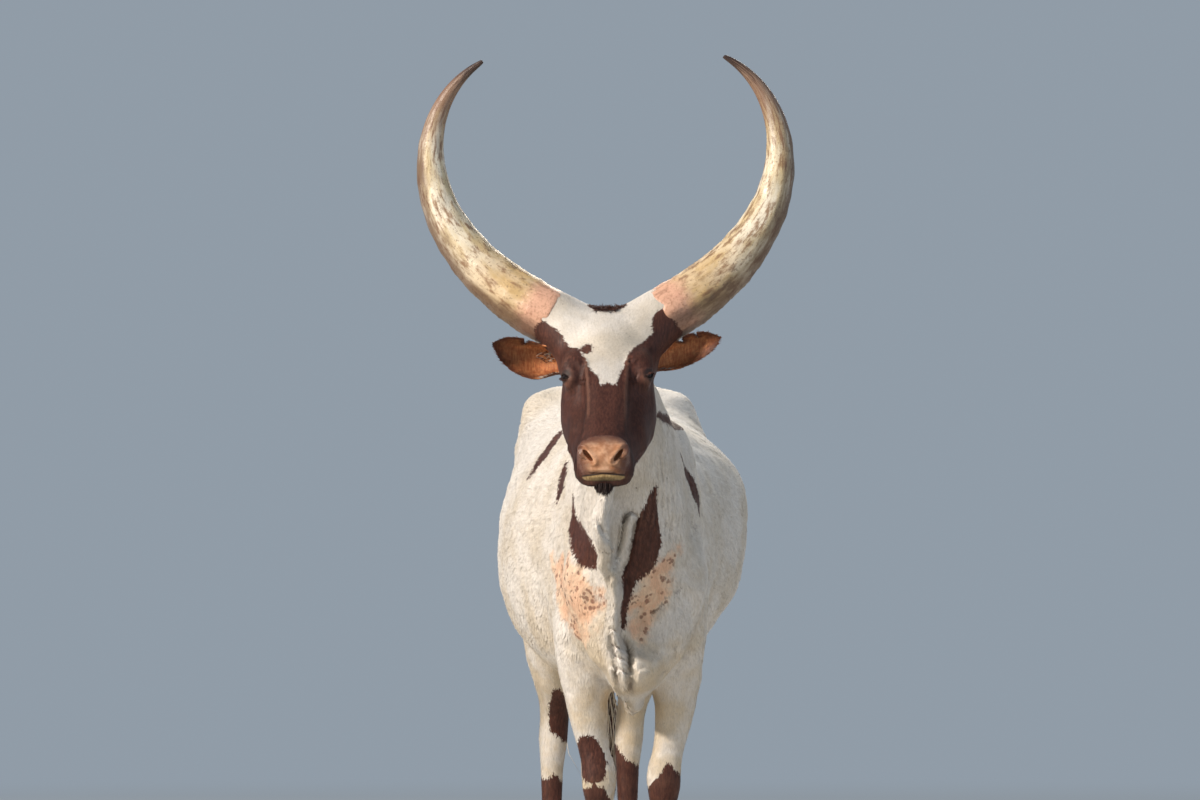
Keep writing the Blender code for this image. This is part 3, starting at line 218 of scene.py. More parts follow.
# The grain left by the fusing goes: each round smooths, and then gives back the lost bulk.
SMOOTH, GIVE_BACK = 0.5, -0.52
for _ in range(4):
    for strength in (SMOOTH, GIVE_BACK):
        points = settle(points, pairs, 1, np.full(len(points), strength))
move_points(hide, points)

# The head gets faces half as wide, and eyes, nose and dewlap half as wide again.
DEWLAP_X = 0.022
EYE_REACH = 0.042
face = in_head(points)
split_fine(hide, (face[:, 2] > -0.20) & (points[:, 1] < -0.74) & (points[:, 2] > 1.0))
points = points_of(hide)
eyes = [HEAD @ (Vector(EYE_PLACE) * Vector((side, 1, 1))) for side in (1, -1)]
near = np.min([np.linalg.norm(points - np.array(eye), axis=1) for eye in eyes], axis=0) < EYE_REACH
face = in_head(points)
near |= (face[:, 1] > 0.415) & (face[:, 2] > -0.125) & (points[:, 1] < -0.9)
x, y, z = points.T
near |= (np.abs(x - DEWLAP_X) < 0.060) & (y < -0.36) & (z > 0.56) & (z < 1.05)
split_fine(hide, near)

# The face is worked on the fine part of the hide: the two ridges from brow to nose, the fold
# over each eye, the raised pad of bare skin on the nose, the lips and the line between them.
LIP_LINE = [(0, 0.487, -0.043), (0.020, 0.484, -0.046), (0.038, 0.474, -0.056), (0.052, 0.458, -0.073)]
LIP_LINE += [(0.060, 0.440, -0.085), (0.066, 0.410, -0.092), (0.072, 0.375, -0.104), (0.078, 0.345, -0.116)]
MUZZLE_SHIFT = -0.008


def spline(keys, rows, at):
    """Smooth values through rows given at keys, with no overshoot between them."""
    keys = np.asarray(keys, float)
    rows = np.asarray(rows, float).reshape(len(keys), -1)
    steps = np.diff(rows, axis=0) / np.diff(keys)[:, None]
    slopes = np.empty_like(rows)
    slopes[1:-1] = np.where(steps[1:] * steps[:-1] > 0, (steps[1:] + steps[:-1]) / 2, 0)
    slopes[0], slopes[-1] = steps[0], steps[-1]
    at = np.clip(at, keys[0], keys[-1])
    k = np.clip(np.searchsorted(keys, at) - 1, 0, len(keys) - 2)
    width = np.diff(keys)[k]
    t = ((at - keys[k]) / width)[:, None]
    width = width[:, None]
    start, end = rows[k], rows[k + 1]
    return (
        start * (1 + 2 * t) * (1 - t) ** 2
        + end * t * t * (3 - 2 * t)
        + width * slopes[k] * t * (1 - t) ** 2
        + width * slopes[k + 1] * t * t * (t - 1)
    )


def chain_distance(points, chain, squash=(1, 1, 1)):
    """How far inside a chain of balls each point is, in metres. Each row of the chain is a ball's
    centre and radius, and the distance along an axis counts as much as squash says."""
    rows = np.array(chain, float)
    squash = np.array(squash)
    best = np.full(len(points), -9.0)
    for start, end in zip(rows[:-1], rows[1:]):
        along = (end[:3] - start[:3]) * squash
        away = (points - start[:3]) * squash
        t = np.clip(away @ along / max(along @ along, 1e-12), 0, 1)
        gap = np.linalg.norm(away - t[:, None] * along, axis=1)
        best = np.maximum(best, start[3] + (end[3] - start[3]) * t - gap)
    return best


points = points_of(hide)
face = in_head(points)
across, along, out = face.T
aside = np.abs(across)
mirrored = np.stack([aside, along, out], axis=1)
front = step(-points[:, 1], 0.70, 0.76) * step(out, -0.15, -0.10)
on_muzzle = points[:, 1] < -0.8
rise = np.zeros(len(points))
# Ridges and hollows that run down the face: how high, how far from the middle, how wide, and
# between which levels each one begins and ends.
ridge = spline([0.17, 0.26, 0.38], [0.046, 0.042, 0.041], along)[:, 0]
RIDGES = (
    (0.0042, ridge, 0.0065, (0.13, 0.22), (0.37, 0.41)),
    (-0.0050, ridge + 0.017, 0.012, (0.21, 0.27), (0.36, 0.40)),
    (0.0045, 0.078, 0.012, (0.23, 0.27), (0.33, 0.37)),
    (-0.0022, 0, 0.022, (0.22, 0.28), (0.36, 0.41)),
)
for height, off, wide, begin, end in RIDGES:
    rise += height * swell(aside - off, wide) * step(along, *begin) * (1 - step(along, *end))
# The folds over the brow, with a swelling below each, the bags under the eye, and the groove at
# its inner corner.
FOLDS_OVER_EYE = ((-0.006, 0.0030), (0.010, 0.0010))
BAGS_UNDER_EYE = ((0.0, 0.0032), (0.010, 0.0020))
SLANT = (1, 1, 0.35)
for shift, depth in FOLDS_OVER_EYE:
    brow = [(0.052, 0.178, -0.01, 0), (0.062, 0.160 - shift, -0.02, 0)]
    brow += [(0.080, 0.152 - shift, -0.03, 0), (0.098, 0.166 - shift, -0.045, 0)]
    gap = -chain_distance(mirrored, brow, SLANT)
    rise -= depth * swell(gap, 0.0032)
    rise += 0.7 * depth * swell(gap - 0.007, 0.005)
for shift, depth in BAGS_UNDER_EYE:
    bag = [(0.055, 0.212 + shift, -0.03, 0), (0.070, 0.226 + shift, -0.045, 0)]
    bag += [(0.086, 0.224 + shift, -0.06, 0)]
    rise -= depth * swell(-chain_distance(mirrored, bag, SLANT), 0.003)
corner = [(0.070, 0.205, -0.02, 0), (0.060, 0.216, -0.02, 0), (0.050, 0.224, -0.01, 0)]
rise -= 0.0040 * swell(-chain_distance(mirrored, corner, SLANT), 0.0030)
# The bare pad of the nose, the line of the mouth with its lips, and the rims of the nostrils.
pad_top = 0.413 + 0.75 * np.maximum(aside - 0.036, 0)
pad_side = spline([0.40, 0.425, 0.45, 0.475], [0.034, 0.050, 0.052, 0.046], along)[:, 0]
pad = np.minimum(along - pad_top, pad_side - aside)
rise += 0.0026 * step(pad, -0.003, 0.004) * step(out, -0.06, -0.04)
lips = -chain_distance(mirrored, [(*spot, 0) for spot in LIP_LINE])
rise -= 0.0050 * swell(lips, 0.0026) * on_muzzle
rise += 0.0026 * swell(lips - 0.009, 0.005) * on_muzzle
NOSTRIL_RIM = [(0.023, 0.472, -0.020, 0), (0.034, 0.459, -0.014, 0), (0.045, 0.446, -0.010, 0)]
rim = -chain_distance(mirrored, NOSTRIL_RIM)
rise += 0.0036 * swell(rim - 0.0090, 0.0042) * step(out, -0.06, -0.03)
points += normals_of(hide) * (rise * front)[:, None]
# Over each eyeball, whose radius comes first, the skin stands off by the thickness of a lid.
BALL = 0.0195
LID = 0.0034
for eye in eyes:
    away = points - np.array(eye)
    far = np.linalg.norm(away, axis=1)
    wanted = BALL + LID
    held = np.maximum(far, wanted) + 0.0016 * swell(far - wanted, 0.006)
    pushed = np.array(eye) + away * (held / np.maximum(far, 1e-9))[:, None]
    points = np.where((far < 0.05)[:, None], pushed, points)
# The muzzle is a little broader than its solid, and to one side.
face = in_head(points)
muzzle = step(face[:, 1], 0.30, 0.42) * step(-points[:, 1], 0.82, 0.88)
face[:, 0] = face[:, 0] * (1 + 0.05 * muzzle) + MUZZLE_SHIFT * muzzle
turn = np.array(HEAD)
points = face @ turn[:3, :3].T + turn[:3, 3]
move_points(hide, points)

# The dewlap's hem is a thick rope of loose skin that hangs from the throat to the brisket and
# gathers in pleats at its foot. Above it the throat's own fold ends in a U-shaped roll. Creases
# part the breast from the shoulders and the fore legs.
# Each chain's rows are balls: x, y, z and radius.
ROPE = [(0.061, -0.600, 0.985, 0.009), (0.052, -0.600, 0.965, 0.012), (0.048, -0.600, 0.932, 0.012)]
ROPE += [(0.040, -0.600, 0.894, 0.013), (0.028, -0.600, 0.859, 0.013), (0.019, -0.600, 0.834, 0.011)]
ROPE += [(0.021, -0.580, 0.801, 0.013), (0.023, -0.560, 0.766, 0.014), (0.024, -0.540, 0.733, 0.015)]
ROPE += [(0.027, -0.520, 0.712, 0.012), (0.030, -0.510, 0.694, 0.014), (0.038, -0.500, 0.671, 0.014)]
ROPE += [(0.039, -0.490, 0.646, 0.013), (0.039, -0.480, 0.618, 0.012), (0.043, -0.460, 0.583, 0.011)]
ROPE += [(0.053, -0.430, 0.543, 0.008)]
# The other ropes: how proud they stand, then their chains of balls.
ROPES = [
    (0.012, [(-0.008, -0.640, 0.901, 0.006), (0.001, -0.620, 0.878, 0.011), (0.017, -0.600, 0.849, 0.011)]),
    (0.007, [(-0.001, -0.640, 0.893, 0.005), (0.023, -0.620, 0.901, 0.006), (0.044, -0.600, 0.925, 0.007)]),
    (0.012, [(-0.003, -0.790, 1.021, 0.008), (-0.004, -0.780, 0.974, 0.010), (0.003, -0.770, 0.957, 0.009),
             (0.015, -0.760, 0.963, 0.007), (0.019, -0.750, 0.982, 0.005)]),
    (0.016, [(-0.022, -0.780, 0.955, 0.009), (-0.012, -0.770, 0.928, 0.012), (0.005, -0.750, 0.917, 0.013),
             (0.022, -0.730, 0.926, 0.011), (0.032, -0.710, 0.949, 0.007)]),
    (0.009, [(0.013, -0.460, 0.634, 0.008), (0.013, -0.440, 0.594, 0.011), (0.023, -0.430, 0.563, 0.010),
             (0.045, -0.420, 0.539, 0.008)]),
    (0.010, [(0.090, -0.440, 0.618, 0.019), (0.082, -0.430, 0.583, 0.017), (0.066, -0.420, 0.551, 0.011),
             (0.057, -0.420, 0.535, 0.006)]),
]
# The throat's fold, whose edge stands off the neck behind it.
FOLD_EDGE = [(-0.066, -0.790, 1.027, 0), (-0.061, -0.780, 0.993, 0), (-0.049, -0.780, 0.961, 0)]
FOLD_EDGE += [(-0.031, -0.770, 0.930, 0), (-0.012, -0.760, 0.910, 0), (0.005, -0.750, 0.903, 0)]
FOLD_EDGE += [(0.022, -0.730, 0.909, 0), (0.035, -0.700, 0.934, 0), (0.039, -0.680, 0.965, 0)]
# How deep and wide each crease is, and its line.
CREASES = [
    (0.0100, 0.0150, [(-0.088, -0.20, 0.99, 0), (-0.108, -0.18, 0.90, 0), (-0.120, -0.16, 0.81, 0),
                      (-0.122, -0.15, 0.74, 0), (-0.112, -0.15, 0.67, 0)]),
    (0.0100, 0.0150, [(0.206, -0.22, 1.05, 0), (0.236, -0.18, 0.95, 0), (0.244, -0.16, 0.85, 0),
                      (0.243, -0.15, 0.78, 0), (0.236, -0.15, 0.71, 0)]),
    (0.0120, 0.0080, [(0.049, -0.560, 0.840, 0), (0.045, -0.540, 0.766, 0), (0.050, -0.500, 0.708, 0),
                      (0.058, -0.460, 0.657, 0), (0.060, -0.450, 0.630, 0)]),
    (0.0100, 0.0060, [(0.066, -0.450, 0.624, 0), (0.060, -0.450, 0.595, 0), (0.055, -0.430, 0.559, 0)]),
    (0.0080, 0.0050, [(0.029, -0.460, 0.624, 0), (0.036, -0.450, 0.591, 0), (0.047, -0.430, 0.551, 0)]),
    (0.0050, 0.0060, [(0.177, -0.420, 0.826, 0), (0.145, -0.440, 0.795, 0), (0.113, -0.460, 0.767, 0)]),
    (0.0130, 0.0130, [(0.222, -0.300, 0.800, 0), (0.186, -0.340, 0.720, 0), (0.165, -0.400, 0.685, 0),
                      (0.165, -0.400, 0.661, 0), (0.145, -0.400, 0.630, 0), (0.124, -0.400, 0.604, 0),
                      (0.118, -0.380, 0.574, 0)]),
    (0.0060, 0.0150, [(-0.104, -0.300, 0.693, 0), (-0.076, -0.340, 0.677, 0), (-0.056, -0.360, 0.645, 0),
                      (-0.036, -0.380, 0.606, 0), (0.007, -0.400, 0.571, 0)]),
    (0.0060, 0.0060, [(-0.014, -0.420, 0.626, 0), (-0.008, -0.420, 0.594, 0), (0.007, -0.400, 0.567, 0)]),
    (0.0070, 0.0120, [(-0.062, -0.45, 0.870, 0), (-0.090, -0.36, 0.800, 0), (-0.098, -0.33, 0.730, 0)]),
]
# The levels of the pleats at the rope's foot, and the spacing of the neck's wrinkles.
PLEATS = (0.718, 0.6825, 0.6585, 0.6325)
WRINKLE_SPACING = 0.019
# The hip bone on the animal's right, how far it reaches, and how far it lies pressed in.
HIP = np.array((-0.212, 0.80, 1.375))
HIP_REACH = np.array((0.055, 0.16, 0.045))
HIP_PRESSED = 0.024
# All these lines are drawn on the front of the animal, so depth counts a quarter.
FLAT = (1, 0.25, 1)
points = points_of(hide)
x, y, z = points.T
facing = step(-normals_of(hide)[:, 1], 0.05, 0.35)
rope = chain_distance(points, ROPE, FLAT)
proud = 0.021 * np.sqrt(np.clip(rope / 0.012, 0, 1)) - 0.007 * swell(rope + 0.006, 0.005)
for level in PLEATS:
    pleat = z - level + 0.45 * (x - 0.035)
    proud -= 0.011 * swell(pleat, 0.0044) * step(rope, -0.006, 0.003)
proud += 0.0020 * np.sin(z * 118 + 1.5) * step(rope, 0, 0.008) * step(z, 0.72, 0.75)
for height, chain in ROPES:
    inside = chain_distance(points, chain, FLAT)
    proud = np.maximum(proud, height * np.sqrt(np.clip(inside / 0.010, 0, 1)) + np.minimum(proud, 0))
edge = -chain_distance(points, FOLD_EDGE, FLAT)
rows = np.array(FOLD_EDGE)
bottom = np.interp(x, rows[:, 0], rows[:, 2], left=9, right=9)
within = np.where(z > bottom, edge, -edge)
fold = step(within, -0.004, 0.006) * (1 - step(within, 0.012, 0.045)) * (1 - step(z, 0.99, 1.05))
proud += 0.013 * fold - 0.010 * swell(within + 0.006, 0.007) * (z < 1.0)
for deep, wide, chain in CREASES:
    gap = -chain_distance(points, chain, FLAT)
    proud -= deep * swell(gap, wide) * (1 - step(rope, -0.004, 0.004))
    proud += 0.35 * deep * swell(gap - 2.2 * wide, 1.3 * wide)
# Fine upright wrinkles where the neck bends, on the animal's left.
wrinkled = step(x, 0.06, 0.11) * (1 - step(x, 0.22, 0.26))
wrinkled *= step(z, 0.90, 0.98) * (1 - step(z, 1.15, 1.24))
wrinkled *= step(-y, 0.26, 0.32) * (1 - step(-y, 0.60, 0.66))
across_fold = x + 0.35 * y + 0.10 * z
wander = 2.5 * np.sin(z * 23) + 1.2 * np.sin(y * 31)
proud += 0.0022 * wrinkled * np.sin(2 * math.pi * across_fold / WRINKLE_SPACING + wander)
points[:, 1] -= np.where(step(-y, 0.2, 0.3) > 0, proud * facing, 0)
# The right hip bone shows less than the left one.
hip = np.exp(-((((points - HIP) / HIP_REACH) ** 2).sum(axis=1)))
points -= normals_of(hide) * (HIP_PRESSED * hip)[:, None]
move_points(hide, points)


def hidden_wave(points, size, seed):
    """A smooth random value from -1 to 1 that changes over the given size."""
    rng = np.random.default_rng(seed)
    total = np.zeros(len(points))
    for _ in range(9):
        direction = rng.normal(size=3)
        direction *= 2 * math.pi / size * rng.uniform(0.6, 1.5) / np.linalg.norm(direction)
        total += np.sin(points @ direction + rng.uniform(0, 6.3))
    return total / 4.0


# Muscle and fat under the skin of the trunk stir it a little: how far, over what width, and a
# seed. Then the whole skin goes in by the coat's depth, least on the face and the feet.
STIRS = ((0.0016, 0.075, 12), (0.0007, 0.030, 13))
THIN_COAT = 0.0008
THICK_COAT = 0.0025
normals = normals_of(hide)
stir = sum(height * hidden_wave(points, size, seed) for height, size, seed in STIRS)
points += normals * (stir * step(points[:, 2], 0.45, 0.60) * step(points[:, 1], -0.70, -0.55))[:, None]
move_points(hide, points)
thick = step(points[:, 2], 0.20, 0.45) * (1 - step(-points[:, 1], 0.68, 0.74))
depth = THIN_COAT + (THICK_COAT - THIN_COAT) * thick
move_points(hide, points_of(hide) - normals_of(hide) * depth[:, None])

# The ears are thin cups of gristle under the same skin. Their roots are drawn into the head and
# joined with the hide there.


def tree_of(piece):
    """The piece's surface, to find the nearest point on it."""
    return BVHTree.FromObject(piece, bpy.context.evaluated_depsgraph_get())


def combine(piece, tool, operation):
    """Applies one Boolean with the tool and removes it."""
    finish_with(piece, "BOOLEAN", operation=operation, solver="MANIFOLD", object=tool)
    bpy.data.objects.remove(tool)


def together(pieces):
    """Joins pieces that don't touch into one."""
    bpy.ops.object.select_all(action="DESELECT")
    for piece in pieces:
        piece.select_set(True)
    bpy.context.view_layer.objects.active = pieces[0]
    bpy.ops.object.join()
    return pieces[0]


ROOT_DEPTH = 0.012
skin_tree = tree_of(hide)
ears = []
ear_trees = {}
for side in ("left", "right"):
    ear = fused_copy([f"ear_{side}"], "ear")
    finish_with(ear, "SUBSURF", levels=2, render_levels=2)
    points = points_of(ear)
    middle = points.mean(axis=0)
    inward = np.array(HEAD @ Vector((0, 0.10, -0.09))) - middle
    inward /= np.linalg.norm(inward)
    gaps = np.array([skin_tree.find_nearest(Vector(p))[3] for p in points])
    sunk = 1 - step(gaps, 0.004, 0.010)
    points += sunk[:, None] * inward * ROOT_DEPTH
    move_points(ear, points)
    ear_trees[side] = tree_of(ear)
    ears.append(ear)
combine(hide, together(ears), "UNION")
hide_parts("ear_left", "ear_right")

# The eyes: dark wet balls with a clear cornea, deep in almond slits between heavy lids.
EYE_WAY = Vector((0.78, 0.40, 0.47)).normalized()
# How far the cornea bulges, as a share of the eyeball's radius.
CORNEA = 0.055
# Each slit is what two round bows of this radius share, shifted up and down by this much.
LID_BOW = 0.0225
LID_SHIFT = 0.0162


def eye_frame(side):
    """A frame in the eyeball whose Z looks out and whose X runs to the inner corner."""
    look = Vector((side * EYE_WAY.x, EYE_WAY.y, EYE_WAY.z))
    along = Vector((0, 0.77, 0.64))
    along = (along - look * along.dot(look)).normalized()
    up = look.cross(along)
    centre = Vector(EYE_PLACE) * Vector((side, 1, 1))
    return HEAD @ Matrix.Translation(centre) @ Matrix((along, up, look)).transposed().to_4x4()


def primitive(kind, place, **sizes):
    """A mesh primitive whose place goes into its vertices."""
    bpy.ops.object.select_all(action="DESELECT")
    getattr(bpy.ops.mesh, f"primitive_{kind}_add")(**sizes)
    made = bpy.context.object
    made.data.transform(place)
    return made


MM = 0.001


def colour(code):
    """An sRGB hex colour as the linear one that shaders take."""
    parts = [int(code[k : k + 2], 16) / 255 for k in (1, 3, 5)]
    return (*[c / 12.92 if c < 0.04045 else ((c + 0.055) / 1.055) ** 2.4 for c in parts], 1)


def node(tree, kind, inputs=(), out=0, **settings):
    """Adds one node with its settings, gives its inputs their values or links, in their order or
    by name, and returns one output."""
    made = tree.nodes.new("ShaderNode" + kind)
    for name, value in settings.items():
        setattr(made, name, value)
    for slot, value in (inputs if isinstance(inputs, dict) else dict(enumerate(inputs))).items():
        if isinstance(value, bpy.types.NodeSocket):
            tree.links.new(value, made.inputs[slot])
        else:
            made.inputs[slot].default_value = colour(value) if isinstance(value, str) else value
    return made.outputs[out]


def painted(tree, base, layers):
    """Lays tints over a base colour. Each layer is a value, the two ends between which it takes
    hold, with the shares there if they aren't 0 and 1, and its tint. Without ends the value is
    the share."""
    for share, ends, tint in layers:
        if ends:
            share = node(tree, "MapRange", (share, *ends), interpolation_type="SMOOTHSTEP")
        base = node(tree, "Mix", {0: share, 6: base, 7: tint}, 2, data_type="RGBA")
    return base


def new_material(name, **sockets):
    """A material, its nodes and its shader, with the shader's own sockets set."""
    made = bpy.data.materials.new(name)
    made.use_nodes = True
    shader = made.node_tree.nodes["Principled BSDF"]
    for socket, value in sockets.items():
        shader.inputs[socket.replace("_", " ")].default_value = value
    return made, made.node_tree, shader


# The eye is wet: tears over a clear cornea, so it mirrors the light sharply, and the iris under
# it is so dark a brown that the long pupil hardly shows.
eye_look, tree, shader = new_material("wet dark eye", IOR=1.376, Roughness=0.06)
place = node(tree, "TexCoord", out="Object")
grain = node(tree, "TexNoise", {"Vector": place, "Scale": 1 / (4 * MM), "Detail": 3, "Roughness": 0.55})
iris = painted(tree, "#0D0705", ((grain, (0.4, 0.6), "#22110A"),))
tree.links.new(iris, shader.inputs["Base Color"])

openings = []
for side, name in ((1, "left"), (-1, "right")):
    spot = eye_frame(side)
    socket = primitive("uv_sphere", spot, segments=48, ring_count=32, radius=BALL + 0.0002)
    bows = [
        primitive(
            "cylinder",
            spot @ Matrix.Translation((0, LID_SHIFT * up, 0.03)),
            vertices=96,
            radius=LID_BOW,
            depth=0.06,
        )
        for up in (1, -1)
    ]
    combine(bows[0], bows[1], "INTERSECT")
    combine(socket, bows[0], "UNION")
    openings.append(socket)
    eye = primitive("uv_sphere", Matrix.Identity(4), segments=64, ring_count=40, radius=BALL)
    eye.name = f"eyeball_{name}"
    points = points_of(eye)
    bulge = step(points[:, 2] / BALL, 0.80, 0.97)
    points *= (1 + CORNEA * bulge)[:, None]
    move_points(eye, points)
    eye.data.transform(spot)
    eye.data.materials.append(eye_look)
    bpy.ops.object.shade_smooth()
    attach(eye, "root")
    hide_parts(f"eye_{name}")

# The nostrils: long slits that slope in and down, and turn inwards as they go deeper. Like the
# sockets they are cut out of the skin.
NOSTRIL_SIZE = (0.0170, 0.022, 0.0056, 1)
for side in (1, -1):
    long_way = Vector((-0.60 * side, 0.71, -0.36)).normalized()
    deep_way = Vector((-0.30 * side, -0.52, -0.80)).normalized()
    deep_way = (deep_way - long_way * deep_way.dot(long_way)).normalized()
    axes = Matrix((long_way, deep_way, long_way.cross(deep_way))).transposed().to_4x4()
    centre = Matrix.Translation((MUZZLE_SHIFT + 0.0340 * side, 0.459, -0.0150))
    spot = HEAD @ centre @ axes @ Matrix.Diagonal(NOSTRIL_SIZE)
    hole = primitive("ico_sphere", spot, subdivisions=5, radius=1)
    bpy.ops.object.mode_set(mode="EDIT")
    bpy.ops.mesh.normals_make_consistent(inside=False)
    bpy.ops.object.mode_set(mode="OBJECT")
    openings.append(hole)
combine(hide, together(openings), "DIFFERENCE")

# The skin's vertices are thinned where it is broad and smooth, and kept on the face, the lower
# legs and the dewlap. The vertex group holds how freely each of them may go.
MOST_TRIANGLES = 178000
points = points_of(hide)
face = in_head(points)
fine = step(-points[:, 1], 0.72, 0.76) * step(face[:, 2], -0.24, -0.20)
fine = np.maximum(fine, 0.5 * step(0.5 - points[:, 2], 0, 0.1))
hem = (1 - step(np.abs(points[:, 0] - DEWLAP_X), 0.05, 0.07)) * step(-points[:, 1], 0.34, 0.38)
fine = np.maximum(fine, 0.9 * hem * (1 - step(points[:, 2], 1.04, 1.08)))
group = hide.vertex_groups.new(name="broad")
for level in range(11):
    members = np.flatnonzero(np.round(fine * 10) == level)
    if len(members):
        group.add(members.tolist(), 1 - 0.085 * level, "REPLACE")  # 1 down to 0.15
count = sum(len(p.vertices) - 2 for p in hide.data.polygons)
finish_with(
    hide,
    "DECIMATE",
    ratio=MOST_TRIANGLES / count,
    vertex_group="broad",
    vertex_group_factor=1.5e-5,
)
hide.vertex_groups.clear()
bpy.ops.object.shade_smooth()
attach(hide, "root")
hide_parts(*FLESH, *LEGS)

# The markings: white with a dark brown face, brown below the knees and hocks, and patches and
# stripes on neck and chest. Each is a chain of balls that the skin passes through. The hide
# keeps each marking as a number at its vertices, which the coat's tufts take from it.
KEPT = ("brown", "bare", "pad", "lip", "hollow", "eye_gap", "ear_in", "ear_edge")
# The white blaze's edges: how far down the face, and how far from its middle.
BLAZE_LEFT = [(-0.08, 0.16), (0.017, 0.147), (0.023, 0.124), (0.047, 0.101), (0.075, 0.099), (0.094, 0.084)]
BLAZE_LEFT += [(0.129, 0.059), (0.182, 0.039), (0.225, 0.025), (0.251, 0.020)]
BLAZE_RIGHT = [(-0.08, 0.16), (0.031, 0.149), (0.065, 0.108), (0.095, 0.090), (0.112, 0.082), (0.125, 0.065)]
BLAZE_RIGHT += [(0.150, 0.054), (0.193, 0.038), (0.225, 0.018), (0.256, 0.017)]
BLAZE_TIP = 0.250
# Where the brown mask ends: how far down the face, and how far out of it.
NAPE_LINE = [(-0.05, -0.02), (0.05, -0.07), (0.12, -0.125), (0.25, -0.195), (0.35, -0.212), (0.50, -0.23)]
# Each patch: how much depth counts, then balls as x, y, z and radius.
PATCHES = [
    (0.35, [(0.116, -0.614, 1.062, 0.004), (0.106, -0.60, 1.02, 0.015), (0.100, -0.585, 0.975, 0.026),
            (0.098, -0.56, 0.930, 0.034), (0.085, -0.54, 0.885, 0.030), (0.055, -0.54, 0.85, 0.018),
            (0.044, -0.50, 0.79, 0.010), (0.042, -0.475, 0.735, 0.006)]),
    (0.35, [(-0.074, -0.344, 1.057, 0.001), (-0.072, -0.36, 1.00, 0.007), (-0.071, -0.39, 0.965, 0.022),
            (-0.058, -0.44, 0.935, 0.030), (-0.042, -0.48, 0.90, 0.028), (-0.025, -0.50, 0.875, 0.010)]),
    (0.35, [(-0.105, 0.068, 1.206, 0.013), (-0.136, 0.056, 1.164, 0.015), (-0.160, 0.075, 1.133, 0.012),
            (-0.188, 0.104, 1.097, 0.003)]),
    (0.35, [(-0.090, -0.143, 1.136, 0.004), (-0.097, -0.165, 1.10, 0.013), (-0.104, -0.18, 1.07, 0.012),
            (-0.114, -0.184, 1.031, 0.003)]),
    (0.05, [(0.125, -0.60, 1.226, 0.010), (0.160, -0.318, 1.214, 0.013), (0.190, -0.10, 1.205, 0.006)]),
    (0.35, [(0.177, -0.445, 1.146, 0.005), (0.202, -0.351, 1.081, 0.012), (0.219, -0.323, 1.036, 0.011),
            (0.226, -0.32, 0.998, 0.004)]),
    (0.30, [(0.164, 0.50, 1.356, 0.006), (0.178, 0.50, 1.352, 0.010), (0.190, 0.50, 1.344, 0.005)]),
    (0.60, [(0.150, 0.62, 1.37, 0.030), (0.165, 0.70, 1.37, 0.045), (0.130, 0.80, 1.39, 0.050)]),
    (0.60, [(0.02, 0.90, 1.36, 0.060), (-0.06, 0.84, 1.35, 0.070), (-0.12, 0.74, 1.33, 0.050)]),
    (0.60, [(0.12, 0.99, 1.05, 0.040), (0.13, 0.98, 0.97, 0.060), (0.15, 0.95, 0.90, 0.030)]),
    (0.60, [(-0.18, 0.80, 1.06, 0.030), (-0.17, 0.84, 1.00, 0.045), (-0.13, 0.92, 0.93, 0.030)]),
    (0.35, [(-0.042, -0.235, 0.450, 0.028), (-0.030, -0.235, 0.41, 0.034), (-0.028, -0.235, 0.388, 0.030)]),
    (0.35, [(-0.123, 0.69, 0.565, 0.016), (-0.118, 0.73, 0.53, 0.030), (-0.112, 0.76, 0.49, 0.034),
            (-0.098, 0.79, 0.45, 0.012)]),
]
# Pink skin under thin hair, on the breast, in the same form.
BARE = [
    (0.35, [(-0.105, -0.25, 0.890, 0.025), (-0.080, -0.33, 0.85, 0.050), (-0.065, -0.40, 0.80, 0.062),
            (-0.055, -0.38, 0.745, 0.045)]),
    (0.35, [(0.155, -0.50, 0.905, 0.020), (0.120, -0.50, 0.85, 0.040), (0.095, -0.47, 0.79, 0.036),
            (0.085, -0.45, 0.72, 0.026)]),
]


def brown_depth(points):
    """How far inside brown hair each point lies, in metres, below 0 in white hair."""
    x, y, z = points.T
    face = in_head(points)
    across, along, out = face.T
    edge_left = spline(*zip(*BLAZE_LEFT), along)[:, 0]
    edge_right = spline(*zip(*BLAZE_RIGHT), along)[:, 0]
    tip = BLAZE_TIP - along - 0.009 * swell(across - 0.002, 0.008)
    blaze = np.minimum(np.minimum(edge_left - across, across + edge_right), tip)
    blaze = np.minimum(blaze, out + 0.05)
    spot = 0.0135 - np.hypot(across + 0.0432, (along - 0.134) * 0.8)
    from_nape = (face - np.array((0.0, -0.007, -0.030))) * np.array((0.62, 1, 1))
    nape = 0.037 - np.linalg.norm(from_nape, axis=1)
    mask = out - spline(*zip(*NAPE_LINE), along)[:, 0]
    mask = np.minimum(mask, -0.60 - y)
    brown = np.maximum(np.minimum(mask, -blaze), np.maximum(spot, nape))
    for squash, chain in PATCHES:
        brown = np.maximum(brown, chain_distance(points, chain, (1, squash, 1)))
    # The lower legs, each with its own line.
    left = x > 0.03
    fore = y < 0.3
    line = np.where(fore & left, 0.410 - 1.2 * np.abs(x - 0.150), 0)
    line = np.where(fore & ~left, 0.352 - 1.4 * np.maximum(x + 0.004, 0), line)
    line = np.where(~fore & (x > -0.015), 0.402 - 1.0 * (x - 0.05) + 0.6 * np.abs(x - 0.06), line)
    line = np.where(~fore & (x <= -0.015), 0.362 + 0.010 * np.sin(x * 130), line)
    return np.maximum(brown, line - z + 0.010 * hidden_wave(points, 0.09, 5))


# The udder's bag and teats are bare, and small, as on a cow that isn't in milk.
low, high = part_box("udder")
UDDER = (np.array(low) + np.array(high)) / 2 - np.array((0, 0, 0.02))


